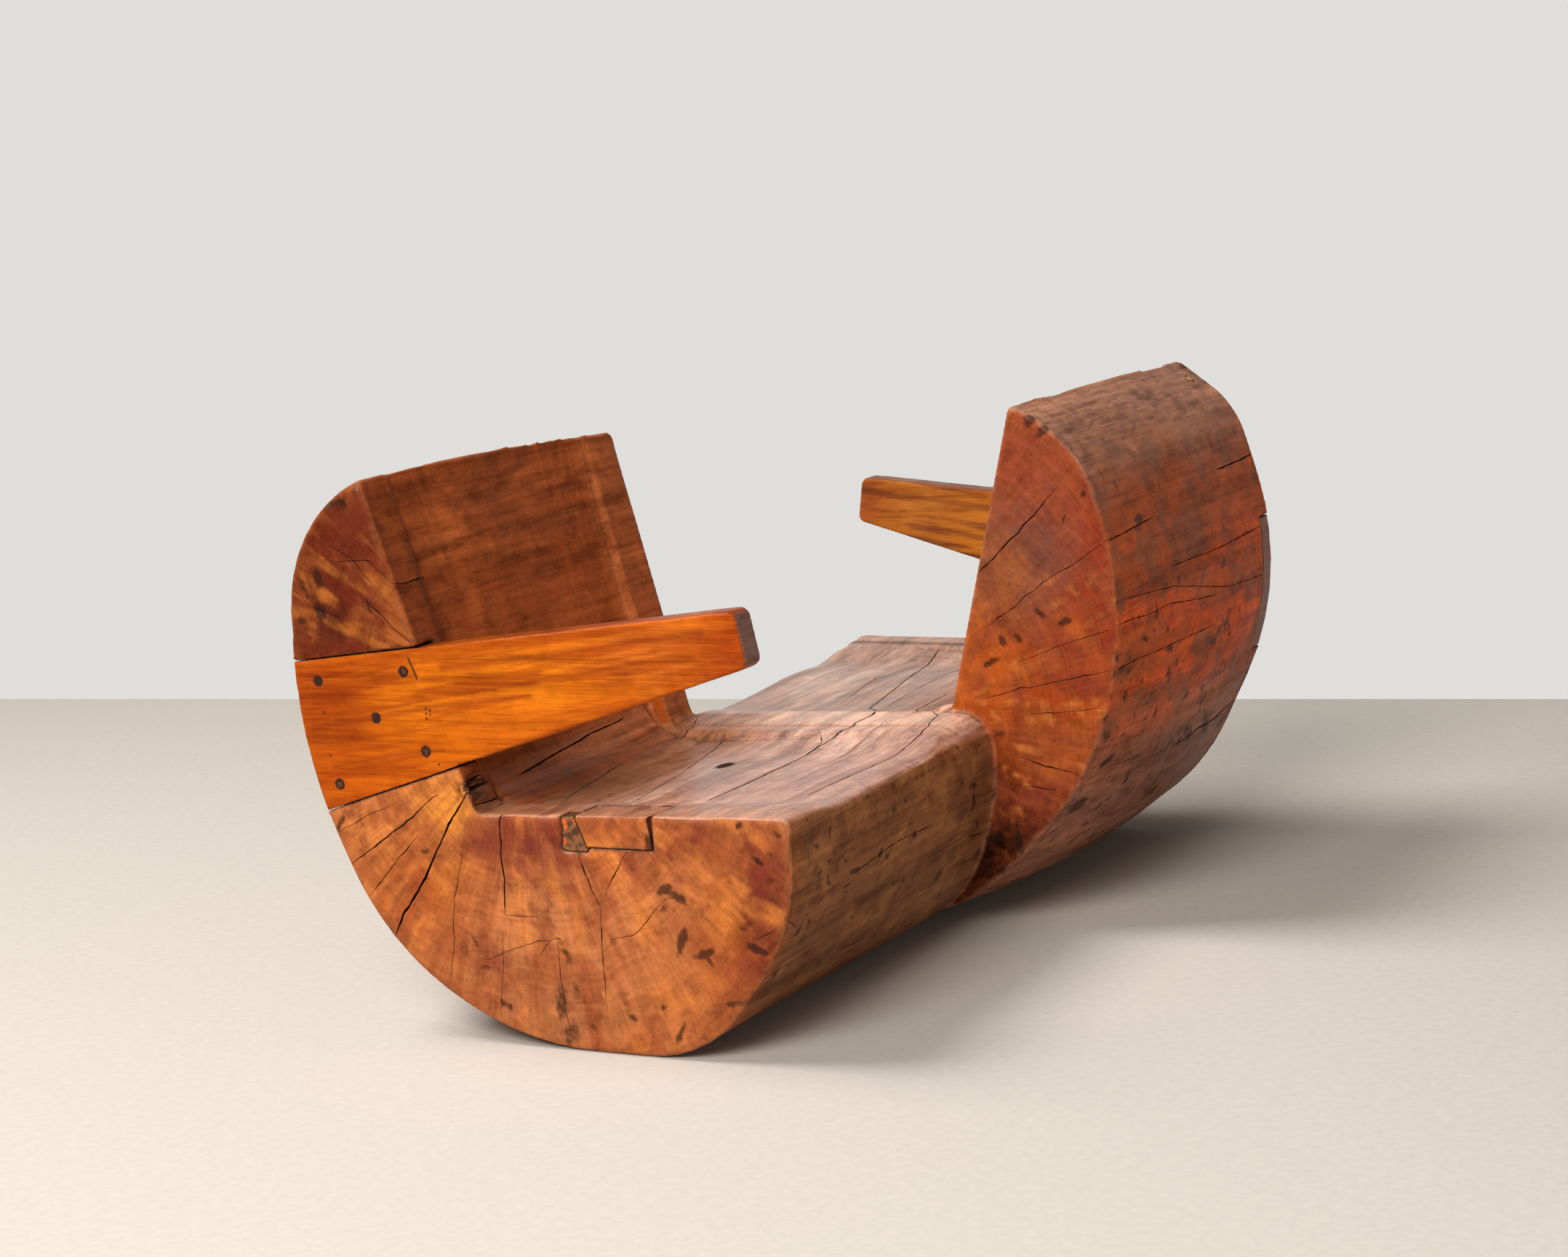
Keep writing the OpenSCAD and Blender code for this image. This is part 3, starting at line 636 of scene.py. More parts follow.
def log_colours(co, no):
    """Base colour and stains of the log, and how much of each point is end grain and seat."""
    places, end, seat, back, front, outer = areas(co, no)
    x, y, z = places
    big = cloudy(co, 0.17, 11)
    bent = co + 0.05 * (np.stack([noise(co, 0.09, seed) for seed in (31, 32, 33)], 1) - 0.5)
    mid = cloudy(bent, 0.06, 12)
    small = cloudy(co, 0.022, 14)
    streak = cloudy(bent, (0.45, 0.04, 0.04), 13)
    line = cloudy(co + 0.2 * (bent - co), (0.25, 0.012, 0.012), 15)
    push = (mid - 0.5) * 0.9 + (small - 0.5) * 1.1 + (cloudy(co, 0.01, 16) - 0.5) * 1.2

    # Outer side of the log, once under the bark, and the front side below the seat
    base = layered(np.tile([0.47, 0.088, 0.018], (len(co), 1)), [
        ((0.72, 0.092, 0.009), outer * ramp(0.45, 0.7, streak) * ramp(0.74, 0.5, z)),
        ((0.3, 0.078, 0.026), outer * ramp(0.48, 0.66, mid) * 0.85),
        ((0.42, 0.185, 0.104), outer * ramp(0.68, 0.8, z + 0.12 * (big - 0.5)) * 0.9),
        ((0.25, 0.103, 0.056), outer * ramp(0.68, 0.78, z) * ramp(0.5, 0.7, mid) * 0.7),
        ((0.33, 0.145, 0.088), outer * ramp(0.44, 0.2, z) * 0.9),
        ((0.3, 0.112, 0.043), front),
        ((0.46, 0.18, 0.058), front * ramp(0.48, 0.68, mid) * 0.7),
        ((0.15, 0.063, 0.029), front * ramp(0.52, 0.75, big) * 0.75),
        ((0.16, 0.07, 0.036), front * ramp(0.26, 0.1, z) * 0.45),
        ((0.44, 0.12, 0.034), front * ramp(-0.66, -0.72, x) * 0.6),
    ])
    # Seat, with a painted sheen on the rim in the middle, and painted shade over the far half
    base = layered(base, [
        ((0.53, 0.265, 0.182), seat),
        ((0.74, 0.445, 0.33), seat * ramp(0.46, 0.7, streak) * 0.7),
        ((0.3, 0.115, 0.06), seat * ramp(0.5, 0.66, line) * 0.5),
        # Painted shade: the seat darker towards the backrest, where its shadow falls
        ((0.37, 0.13, 0.046), seat * ramp(0.02, 0.15, y) * 0.8),
        ((0.66, 0.26, 0.12), seat * ramp(-0.64, -0.68, x) * 0.6),
        # Painted sheen: the middle rim paler and pinker
        ((0.78, 0.45, 0.3), seat * ramp(0.356, 0.363, z) * ramp(-0.115, -0.08, x) * 0.8),
        # Painted shadow: a dark line on the seat just below the middle rim
        ((0.3, 0.12, 0.065), seat * bell((x + 0.084 + 0.01 * (mid - 0.5)) / 0.007) * 0.6),
    ])
    # Painted shade: the far half's seat darker
    base = base * (1 - (seat * ramp(0.05, 0.12, co[:, 0]))[:, None] * (0.27, 0.23, 0.25))
    # Painted shadow: a dark line across the far seat below its end rim
    far_rim_shadow_line = seat * bell((co[:, 0] - 0.664 + 0.012 * (mid - 0.5)) / 0.008)
    # Backrest, with a painted shadow band beside its end rim and a warm rise from the seat
    rim_shadow_band = bell((x + 0.653 + 0.01 * (mid - 0.5)) / 0.011)
    rise = np.clip(seat + back, 0, 1) * ramp(0.2, 0.27, y) * ramp(0.43, 0.37, z)
    base = layered(base, [
        ((0.085, 0.045, 0.032), far_rim_shadow_line * 0.75),
        ((0.36, 0.082, 0.02), back),
        ((0.5, 0.125, 0.032), back * ramp(0.5, 0.75, streak) * 0.6),
        ((0.2, 0.048, 0.014), back * ramp(0.55, 0.72, line) * 0.6),
        ((0.24, 0.056, 0.018), back * ramp(0.55, 0.75, mid) * 0.5),
        ((0.24, 0.05, 0.014), back * ramp(-0.635, -0.66, x) * 0.6),
        ((0.5, 0.145, 0.045), back * ramp(-0.15, -0.11, x) * 0.6),
        ((0.09, 0.026, 0.012), back * rim_shadow_band * ramp(0.82, 0.7, z) * 0.7),
        ((0.56, 0.18, 0.06), rise * 0.8),
    ])

    grain = grain_colours(co, places, mid, small, push)
    base = base * (1 - end[:, None]) + grain * end[:, None]
    # Red marks of the outer side, and the dark chipped corner of the seat beside the near plank
    splinter = ramp(0.35, 0.6, cloudy(co, (0.02, 0.005, 0.005), 42))
    base = layered(base, [
        ((0.82, 0.095, 0.01), spots(co, both_halves(OUTER_RED), push, 1.2, 9) * outer * 0.6),
        ((0.115, 0.052, 0.028), lump(co, (-0.69, 0.214, 0.384), (0.04, 0.028, 0.026)) * (1 - end) * 0.9),
        ((0.42, 0.26, 0.15), lump(co, (-0.692, 0.2, 0.364), (0.026, 0.014, 0.012)) * splinter * 0.9),
    ])

    stain = spots(co, on_ends(NEAR_DARK + SHOULDER_DARK, FAR_DARK, OUTER_DARK + SIDE_DARK), push)
    bark = ramp(0.56, 0.72, small) * ramp(0.42, 0.58, big) * outer * ramp(0.72, 0.58, z)
    for more in (bark * 0.7, ramp(0.66, 0.76, small) * front * 0.7, ramp(0.74, 0.84, small) * end * 0.5):
        stain = np.maximum(stain, more)
    return base, stain, end, seat


def hand_made(co, no):
    """How far the carver's tools and wear went below the true surface, in metres."""
    (x, _, z), end, seat, _, _, outer = areas(co, no)
    soft = 1 - end
    wave = noise(co, (0.3, 0.13, 0.13), 1) * 0.002 * soft + noise(co, 0.07, 6) * 0.0006
    adze = 1 - np.abs(noise(co, (0.055, 0.016, 0.016), 2) - 0.5) * 2
    rough = ramp(0.7, 0.8, z) * outer
    chop = adze ** 4 * (0.0003 + 0.0006 * rough) * soft
    pits = ramp(0.62, 0.75, noise(co, (0.03, 0.007, 0.007), 4)) * (0.0002 + 0.0005 * rough) * soft
    steps = ramp(-0.072, -0.084, x) * ramp(-0.4, -0.2, x)
    steps = np.maximum(steps, ramp(0.668, 0.656, co[:, 0]) * ramp(0.4, 0.55, co[:, 0])) * seat * 0.0035
    corner = bell(np.linalg.norm(co - (-0.705, 0.232, 0.388), axis=1) / 0.032)
    chips = corner * (0.0015 + 0.006 * ramp(0.45, 0.7, noise(co, (0.02, 0.008, 0.008), 9))
                      + 0.0035 * ramp(0.4, 0.6, noise(co, (0.04, 0.006, 0.006), 10)))
    return wave + chop + pits + chips + steps


# The carved log

def add_rod(bm, start, end, y, z, radius):
    made = bmesh.ops.create_cone(
        bm, cap_ends=True, segments=24, radius1=radius, radius2=radius, depth=abs(end - start))
    turn = Matrix.Rotation(math.pi / 2, 4, "Y")
    bmesh.ops.transform(bm, matrix=Matrix.Translation(((start + end) / 2, y, z)) @ turn, verts=made["verts"])


def peg_places():
    for name in sorted(nodes):
        if "_peg_" in name:
            low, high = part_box(name)
            yield name, (-1 if low.x < 0 else 1), (low.y + high.y) / 2, (low.z + high.z) / 2, low, high


def log_source():
    """The log as made, with its peg holes closed where nothing shows of them."""
    bm = node_mesh("log_body")
    for _, side, y, z, low, high in peg_places():
        inner = min(abs(low.x), abs(high.x))
        add_rod(bm, side * (inner - 0.004), side * (HALF - 0.0485), y, z, 0.0087)
    return bm


def cut_surface(mesh, cracks, reaches):
    """Cuts cracks and tool marks into a piece, and gives its points before that and their normals."""
    co, _, _ = mesh_arrays(mesh)
    note_bend(mesh)
    tree = surface([tuple(p) for p in co], mesh)
    courses = crack_courses(tree, cracks)
    refine(mesh, courses, reaches)
    co, no, _ = mesh_arrays(mesh)
    beyond, half, depth = crack_reach(co, courses, 0.004)
    inner = np.clip(-beyond / np.maximum(half, 1e-5), 0, 1)
    whole = 1 - get_value(mesh, "near_edge")
    lip = 0.0003 * np.clip(1 - np.abs(beyond) / 0.0012, 0, 1)
    down = hand_made(co, no) * whole + depth * inner ** 0.7 + lip
    new = co - no * down[:, None]
    new[:, 2] = np.maximum(new[:, 2], 0.0)
    move_points(mesh, new)
    strong = np.clip(half / 0.0006, 0.6, 1)
    dark = strong * np.clip(1 - (beyond - 0.0002) / 0.0006, 0, 1)
    set_value(mesh, "crack", np.where(half > 0, dark, 0))
    return co, no


def dress(mesh, co, no, extra_stain=0):
    base, stain, end, seat = log_colours(co, no)
    bend = get_value(mesh, "bend")
    set_colour(mesh, "base", base)
    set_value(mesh, "stain", np.maximum(stain, extra_stain))
    # Painted shade: hollows and creases darkened where shade falls, together with the dark joints beside the
    # planks and the inlay
    crease_shade = np.maximum(ramp(0.035, 0.16, bend), 0.5 * seat * ramp(0.012, 0.04, bend))
    set_value(mesh, "crease_shade_and_joint", np.maximum(crease_shade, 0.85 * get_value(mesh, "joint")))
    (_, y, _), _, _, back, _, _ = areas(co, no)
    # Convex edges turn paler: wear, and a painted highlight where rounded varnished edges catch the light;
    # kept off the joints and faint on the backrest
    wear_and_highlight_share = 1 - np.maximum(get_value(mesh, "without_wear_and_highlight"), 0.6 * back)
    set_value(mesh, "worn", ramp(0.04, 0.15, -bend) * wear_and_highlight_share)
    set_value(mesh, "end", end)
    set_value(mesh, "seat", seat * (1 - 0.65 * ramp(0.02, 0.15, y)))


def give(obj, material, node):
    obj.data.materials.clear()
    obj.data.materials.append(material)
    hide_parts(node)
    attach(obj, "root")


LOG_VOXEL, PLANK_VOXEL, INLAY_VOXEL, FILLER_VOXEL, PLUG_VOXEL = 0.0036, 0.0024, 0.0014, 0.0013, 0.0007
# How far from a crack the faces are split, at each pass
FINER_BESIDE_CRACKS = (0.006, 0.0032, 0.0016)


def build_log(material):
    beside = ("near_armrest", "far_armrest", "seat_edge_inlay", "knot_filler", "shoulder_plug")
    log = skinned("carved_log", log_source(), LOG_VOXEL, 3, beside)
    wear_lips(log.data)
    co, no = cut_surface(log.data, crack_list(), FINER_BESIDE_CRACKS)
    corner = lump(co, (-0.695, 0.234, 0.392), (0.036, 0.024, 0.02))
    knot = 1.3 * lump(co, (-0.312, 0.021, 0.346), (0.026, 0.013, 0.02))
    splinter = ramp(0.36, 0.56, cloudy(co, (0.05, 0.005, 0.005), 41))
    dress(log.data, co, no, np.maximum(np.minimum(1, corner * (0.55 + 0.75 * splinter)), knot))
    black = np.maximum(ramp(0.45, 0.85, knot) * 0.85, ramp(0.45, 0.75, corner * splinter) * 0.8)
    set_value(log.data, "crack", np.maximum(get_value(log.data, "crack"), black))
    give(log, material, "log_body")


def build_inlay(material):
    """Block let into the near edge of the seat, a little narrower than its recess."""
    inlay = skinned("inlay_block", node_mesh("seat_edge_inlay"), INLAY_VOXEL, 1, ("log_body",))
    mesh = inlay.data
    co, no, _ = mesh_arrays(mesh)
    note_bend(mesh)
    new = co - no * hand_made(co, no)[:, None]
    open_end = ramp(-0.695, -0.715, co[:, 0])
    gap = 0.0004 + 0.005 * ramp(0.318, 0.358, co[:, 2])
    new[:, 1] += ramp(-0.07, -0.0895, co[:, 1]) * open_end * gap
    new[:, 2] += ramp(0.33, 0.313, co[:, 2]) * (0.0006 * noise(co, 0.02, 21))
    move_points(mesh, new)
    set_value(mesh, "crack", np.zeros(len(co)))
    dress(mesh, co, no, np.exp(-((co[:, 1] + 0.085) / 0.01) ** 2 - ((co[:, 2] - 0.325) / 0.016) ** 2))
    give(inlay, material, "seat_edge_inlay")


# Orange chips in the filler: y and z of the middle and their reach
FILLER_CHIPS = [(0.06, 0.346, 0.0042, 0.0075), (0.063, 0.322, 0.004, 0.005), (0.04, 0.352, 0.004, 0.003)]


def build_filler(material):
    """Dark filling of a knot beside the inlay, with orange chips set in it."""
    filler = skinned("knot_filling", node_mesh("knot_filler"), FILLER_VOXEL, 1)
    mesh = filler.data
    co, no, _ = mesh_arrays(mesh)
    rough = noise(co, 0.006, 51) * 0.0022 + noise(co, 0.0025, 52) * 0.0009
    move_points(mesh, co - no * (rough + hand_made(co, no))[:, None])
    patches = ramp(0.4, 0.6, cloudy(co, 0.008, 53))
    colour = blend(np.tile([0.1, 0.045, 0.022], (len(co), 1)), (0.26, 0.105, 0.04), patches)
    push = (noise(co, 0.004, 54) - 0.5) * 0.8
    for y, z, ry, rz in FILLER_CHIPS:
        d = np.hypot((co[:, 1] - y) / ry, (co[:, 2] - z) / rz) + push
        colour = blend(colour, (0.66, 0.12, 0.03), ramp(1.35, 0.95, d))
    set_colour(mesh, "base", colour)
    give(filler, material, "knot_filler")


# Planks and pegs

# Fields of colour as on the ends, then streaks: width in metres, strength, and the y and z of their course.
# The nick's course, the pins and the marks with their size are in mm too.
PLANK_FIELDS = [
    (430, 500, 110, 90, (0.33, 0.042, 0.001), 0.95),
    (300, 520, 110, 70, (0.71, 0.172, 0.004), 0.9),
    (300, 430, 110, 50, (0.56, 0.104, 0.002), 0.7),
    (60, 560, 120, 60, (0.74, 0.19, 0.005), 0.8),
    (-120, 610, 110, 50, (0.68, 0.165, 0.018), 0.8),
    (-245, 620, 40, 60, (0.44, 0.066, 0.006), 0.9),
    (500, 560, 40, 40, (0.46, 0.078, 0.004), 0.7),
    (420, 390, 90, 40, (0.56, 0.098, 0.002), 0.7),
]
PLANK_STREAKS = [
    (0.006, 0.6, [(250, 578), (120, 592), (-60, 615), (-200, 634)]),
    (0.004, 0.5, [(500, 480), (380, 500), (250, 520), (100, 538)]),
    (0.003, 0.45, [(470, 420), (360, 440), (260, 452)]),
    (0.004, 0.4, [(180, 545), (20, 570), (-180, 600)]),
    (0.003, 0.4, [(430, 545), (300, 556), (150, 568)]),
]
PLANK_NICK = [(310, 590), (303, 573), (298, 560)]
PLANK_PINS = [(287, 514), (287, 507), (287, 500), (280, 512), (280, 505), (477, 504), (474, 437), (273, 430)]
PLANK_MARKS = [(0, 420, 560, 12), (0, 388, 485, 10), (0, 330, 400, 12), (0, 250, 470, 8)]


def along(y, z, points):
    """Distance to a broken line of points in mm."""
    p = np.stack([y, z], 1)
    nearest = np.full(len(y), 1.0)
    q = np.array(points, float) / 1000
    for a, b in zip(q[:-1], q[1:]):
        t = np.clip(((p - a) @ (b - a)) / ((b - a) @ (b - a)), 0, 1)
        nearest = np.minimum(nearest, np.linalg.norm(p - a - t[:, None] * (b - a), axis=1))
    return nearest


def build_plank(name, node, side, material):
    bm = node_mesh(node)
    pegs = [(y, z) for _, s, y, z, _, _ in peg_places() if s == side]
    for y, z in pegs:
        add_rod(bm, side * (HALF - 0.0475), side * (HALF - 0.0002), y, z, 0.0088)
    plank = skinned(name, bm, PLANK_VOXEL, 2, ("log_body",))
    mesh = plank.data
    co, no, _ = mesh_arrays(mesh)
    note_bend(mesh)
    h, hn = half_turned(co, no)
    x, y, z = h.T
    ring = np.min([np.hypot(co[:, 1] - peg_y, co[:, 2] - peg_z) for peg_y, peg_z in pegs], axis=0)
    face = ramp(0.6, 0.9, -hn[:, 0])
    down = hand_made(co, no) + noise(co, 0.025, 62) * 0.0004
    down = down + face * 0.0012 * ramp(0.0105, 0.0082, ring)
    nick = bell(along(y, z, PLANK_NICK) / 0.0022) * face
    pin = np.zeros(len(co))
    for pin_y, pin_z in PLANK_PINS:
        pin = np.maximum(pin, np.exp(-((y * 1000 - pin_y) ** 2 + (z * 1000 - pin_z) ** 2) / 2.6 ** 2) * face)
    move_points(mesh, co - no * (down + 0.002 * nick + 0.001 * pin)[:, None])

    small = cloudy(co, 0.022, 65 + side)
    push = (cloudy(co, 0.06, 64 + side) - 0.5) * 1.2 + (small - 0.5) * 0.4
    turned = np.stack([x, y * 0.985 - z * 0.17, y * 0.17 + z * 0.985], 1)
    line = cloudy(turned, (0.2, 0.22, 0.012), 66 + side)
    colour = fields(np.tile([0.6, 0.12, 0.004], (len(co), 1)), y, z, PLANK_FIELDS, np.ones(len(co)), push)
    colour = blend(colour, (0.34, 0.042, 0.003), ramp(0.51, 0.64, line) * 0.55)
    for width, k, points in PLANK_STREAKS:
        d = along(y, z, points) + (line - 0.5) * 0.008
        colour = blend(colour, (0.24, 0.03, 0.004), k * np.exp(-np.maximum(d, 0) ** 2 / width ** 2))
    tip = ramp(0.6, 0.85, np.abs(hn[:, 1]))
    colour = layered(colour, [((0.36, 0.07, 0.014), tip), ((0.24, 0.115, 0.084), tip * (y < 0))])
    # Painted shade: the plank's upward faces darker
    colour = colour * (1 - ramp(0.6, 0.9, hn[:, 2])[:, None] * (0.36, 0.38, 0.0))
    if side > 0:
        colour = blend(colour * (0.72, 0.95, 1.0) + 0.01, (0.2, 0.06, 0.02), ramp(0.5, 0.64, line) * 0.6)
    stain = np.maximum(nick, pin)
    stain = np.maximum(stain, face * ramp(0.01, 0.0084, ring))
    stain = np.maximum(stain, spots(h * (0, 1, 1), PLANK_MARKS, push) * 0.42)
    set_colour(mesh, "base", colour)
    set_value(mesh, "stain", np.maximum(stain, get_value(mesh, "joint") * 0.7))
    # Paler convex edges: wear, and a painted highlight on the rounded edges, kept off the joints
    set_value(mesh, "worn", ramp(0.06, 0.22, -get_value(mesh, "bend")) * (1 - get_value(mesh, "without_wear_and_highlight")))
    give(plank, material, node)


PEG_RADIUS = 0.0081


def build_peg(name, side, y, z, node, material):
    """The end of a peg: a slightly uneven dark disc, flush with the plank, and a short side behind it."""
    rng = np.random.default_rng(int(round(y * 1e4)) % 997 + int(round(z * 1e4)))
    rings, around = 9, 28
    angle = np.linspace(0, 2 * math.pi, around, endpoint=False)
    edge = PEG_RADIUS - 0.0007 * (0.5 + 0.5 * np.sin(angle * 2 + rng.uniform(0, 6))) * rng.uniform(0.3, 1)
    points = [(side * (HALF - 0.0006), y, z)]
    for k in range(1, rings + 1):
        share = k / rings
        for a, e in zip(angle, edge):
            p = np.array([[0, y + e * share * math.cos(a), z + e * share * math.sin(a)]])
            low = 0.0005 + 0.0008 * float(noise(p, 0.0025, 71)[0]) + 0.0012 * share ** 6
            points.append((side * (HALF - low), p[0, 1], p[0, 2]))
    for a, e in zip(angle, edge):
        points.append((side * (HALF - 0.006), y + e * math.cos(a), z + e * math.sin(a)))
    faces = []
    for j in range(around):
        n = (j + 1) % around
        faces.append((0, 1 + j, 1 + n))
        for k in range(rings):
            a, b = 1 + k * around, 1 + (k + 1) * around
            faces.append((a + j, b + j, b + n, a + n))
    if side < 0:
        faces = [tuple(reversed(f)) for f in faces]
    mesh = bpy.data.meshes.new(name)
    mesh.from_pydata(points, [], faces)
    mesh.polygons.foreach_set("use_smooth", [True] * len(mesh.polygons))
    co, _, _ = mesh_arrays(mesh)
    reach = np.hypot(co[:, 1] - y, co[:, 2] - z) / PEG_RADIUS
    set_colour(mesh, "base", layered(np.tile([0.04, 0.017, 0.01], (len(co), 1)), [
        ((0.11, 0.04, 0.018), ramp(0.45, 0.65, noise(co, 0.004, 72)) * ramp(0.9, 0.4, reach)),
        ((0.012, 0.006, 0.004), ramp(0.72, 0.95, reach)),
    ]))
    give(add_object(name, mesh), material, node)


def build_plug(material):
    """Pale disc standing a little proud on the far shoulder, worn round at its rim."""
    plug = skinned("shoulder_plug_end", node_mesh("shoulder_plug"), PLUG_VOXEL, 2)
    mesh = plug.data
    co, no, _ = mesh_arrays(mesh)
    move_points(mesh, co - no * (noise(co, 0.003, 81) * 0.0004)[:, None])
    middle = co[co[:, 2] > co[:, 2].max() - 0.004].mean(0)
    reach = np.linalg.norm(co - middle, axis=1) / 0.0088
    set_colour(mesh, "base", layered(np.tile([0.62, 0.36, 0.13], (len(co), 1)), [
        ((0.36, 0.17, 0.065), ramp(0.5, 0.7, noise(co, (0.006, 0.001, 0.001), 82)) * 0.7),
        ((0.2, 0.09, 0.04), ramp(0.85, 1.05, reach)),
    ]))
    give(plug, material, "shoulder_plug")


# Materials

class Tree:
    """A material's node tree, built by short calls."""

    def __init__(self, name):
        self.material = bpy.data.materials.new(name)
        self.material.use_nodes = True
        self.tree = self.material.node_tree
        self.tree.nodes.clear()
        self.out = self.tree.nodes.new("ShaderNodeOutputMaterial")

    def plug(self, value, socket):
        if isinstance(value, bpy.types.NodeSocket):
            self.tree.links.new(value, socket)
        elif isinstance(value, tuple) and socket.type == "RGBA" and len(value) == 3:
            socket.default_value = (*value, 1)
        else:
            socket.default_value = value

    def node(self, kind, inputs=None, **settings):
        n = self.tree.nodes.new(kind)
        for key, value in settings.items():
            setattr(n, key, value)
        for key, value in (inputs or {}).items():
            self.plug(value, n.inputs[key])
        return n

    def math(self, operation, a, b=0.0, c=None, clamp=False):
        inputs = {0: a, 1: b}
        if c is not None:
            inputs[2] = c
        return self.node("ShaderNodeMath", inputs, operation=operation, use_clamp=clamp).outputs[0]

    def times(self, a, b, clamp=False):
        return self.math("MULTIPLY", a, b, clamp=clamp)

    def plus(self, a, b, clamp=False):
        return self.math("ADD", a, b, clamp=clamp)

    def minus(self, a, b):
        return self.math("SUBTRACT", a, b)

    def most(self, a, b):
        return self.math("MAXIMUM", a, b)

    def mix(self, share, a, b, kind="MIX"):
        n = self.node("ShaderNodeMix", data_type="RGBA", blend_type=kind)
        self.plug(share, n.inputs[0])
        self.plug(a, n.inputs[6])
        self.plug(b, n.inputs[7])
        return n.outputs[2]

    def tinted(self, colour, tint):
        return self.mix(1.0, colour, tint, "MULTIPLY")

    def between(self, share, a, b):
        return self.node("ShaderNodeMix", {0: share, 2: a, 3: b}, data_type="FLOAT").outputs[0]

    def noise(self, vector, scale=(1, 1, 1), detail=3.0, rough=0.55, turn=(0, 0, 0), distortion=0.0):
        if scale != (1, 1, 1) or turn != (0, 0, 0):
            inputs = {"Vector": vector, "Scale": scale, "Rotation": turn}
            vector = self.node("ShaderNodeMapping", inputs).outputs[0]
        inputs = {"Vector": vector, "Scale": 1.0, "Detail": detail, "Roughness": rough,
                  "Distortion": distortion}
        return self.node("ShaderNodeTexNoise", inputs).outputs["Fac"]

    def range(self, value, low, high, to_low=0.0, to_high=1.0, smooth=False):
        inputs = {"Value": value, "From Min": low, "From Max": high, "To Min": to_low, "To Max": to_high}
        kind = "SMOOTHSTEP" if smooth else "LINEAR"
        return self.node("ShaderNodeMapRange", inputs, interpolation_type=kind).outputs[0]

    def grey(self, value):
        return self.node("ShaderNodeCombineXYZ", {0: value, 1: value, 2: value}).outputs[0]

    def place(self):
        return self.node("ShaderNodeTexCoord").outputs["Object"]

    def attribute(self, name, output="Fac"):
        return self.node("ShaderNodeAttribute", attribute_name=name).outputs[output]

    def varnished(self, colour, roughness, height, strength, depth, specular, more=None):
        """The material's end: a varnished surface with its height as a fine bump, depth in metres."""
        bump = self.node("ShaderNodeBump", {"Strength": strength, "Distance": depth, "Height": height})
        inputs = {"Base Color": colour, "Roughness": roughness, "Normal": bump.outputs[0],
                  "Specular IOR Level": specular, **(more or {})}
        return self.finish(self.node("ShaderNodeBsdfPrincipled", inputs).outputs[0])

    def finish(self, shader):
        self.tree.links.new(shader, self.out.inputs["Surface"])
        return self.material


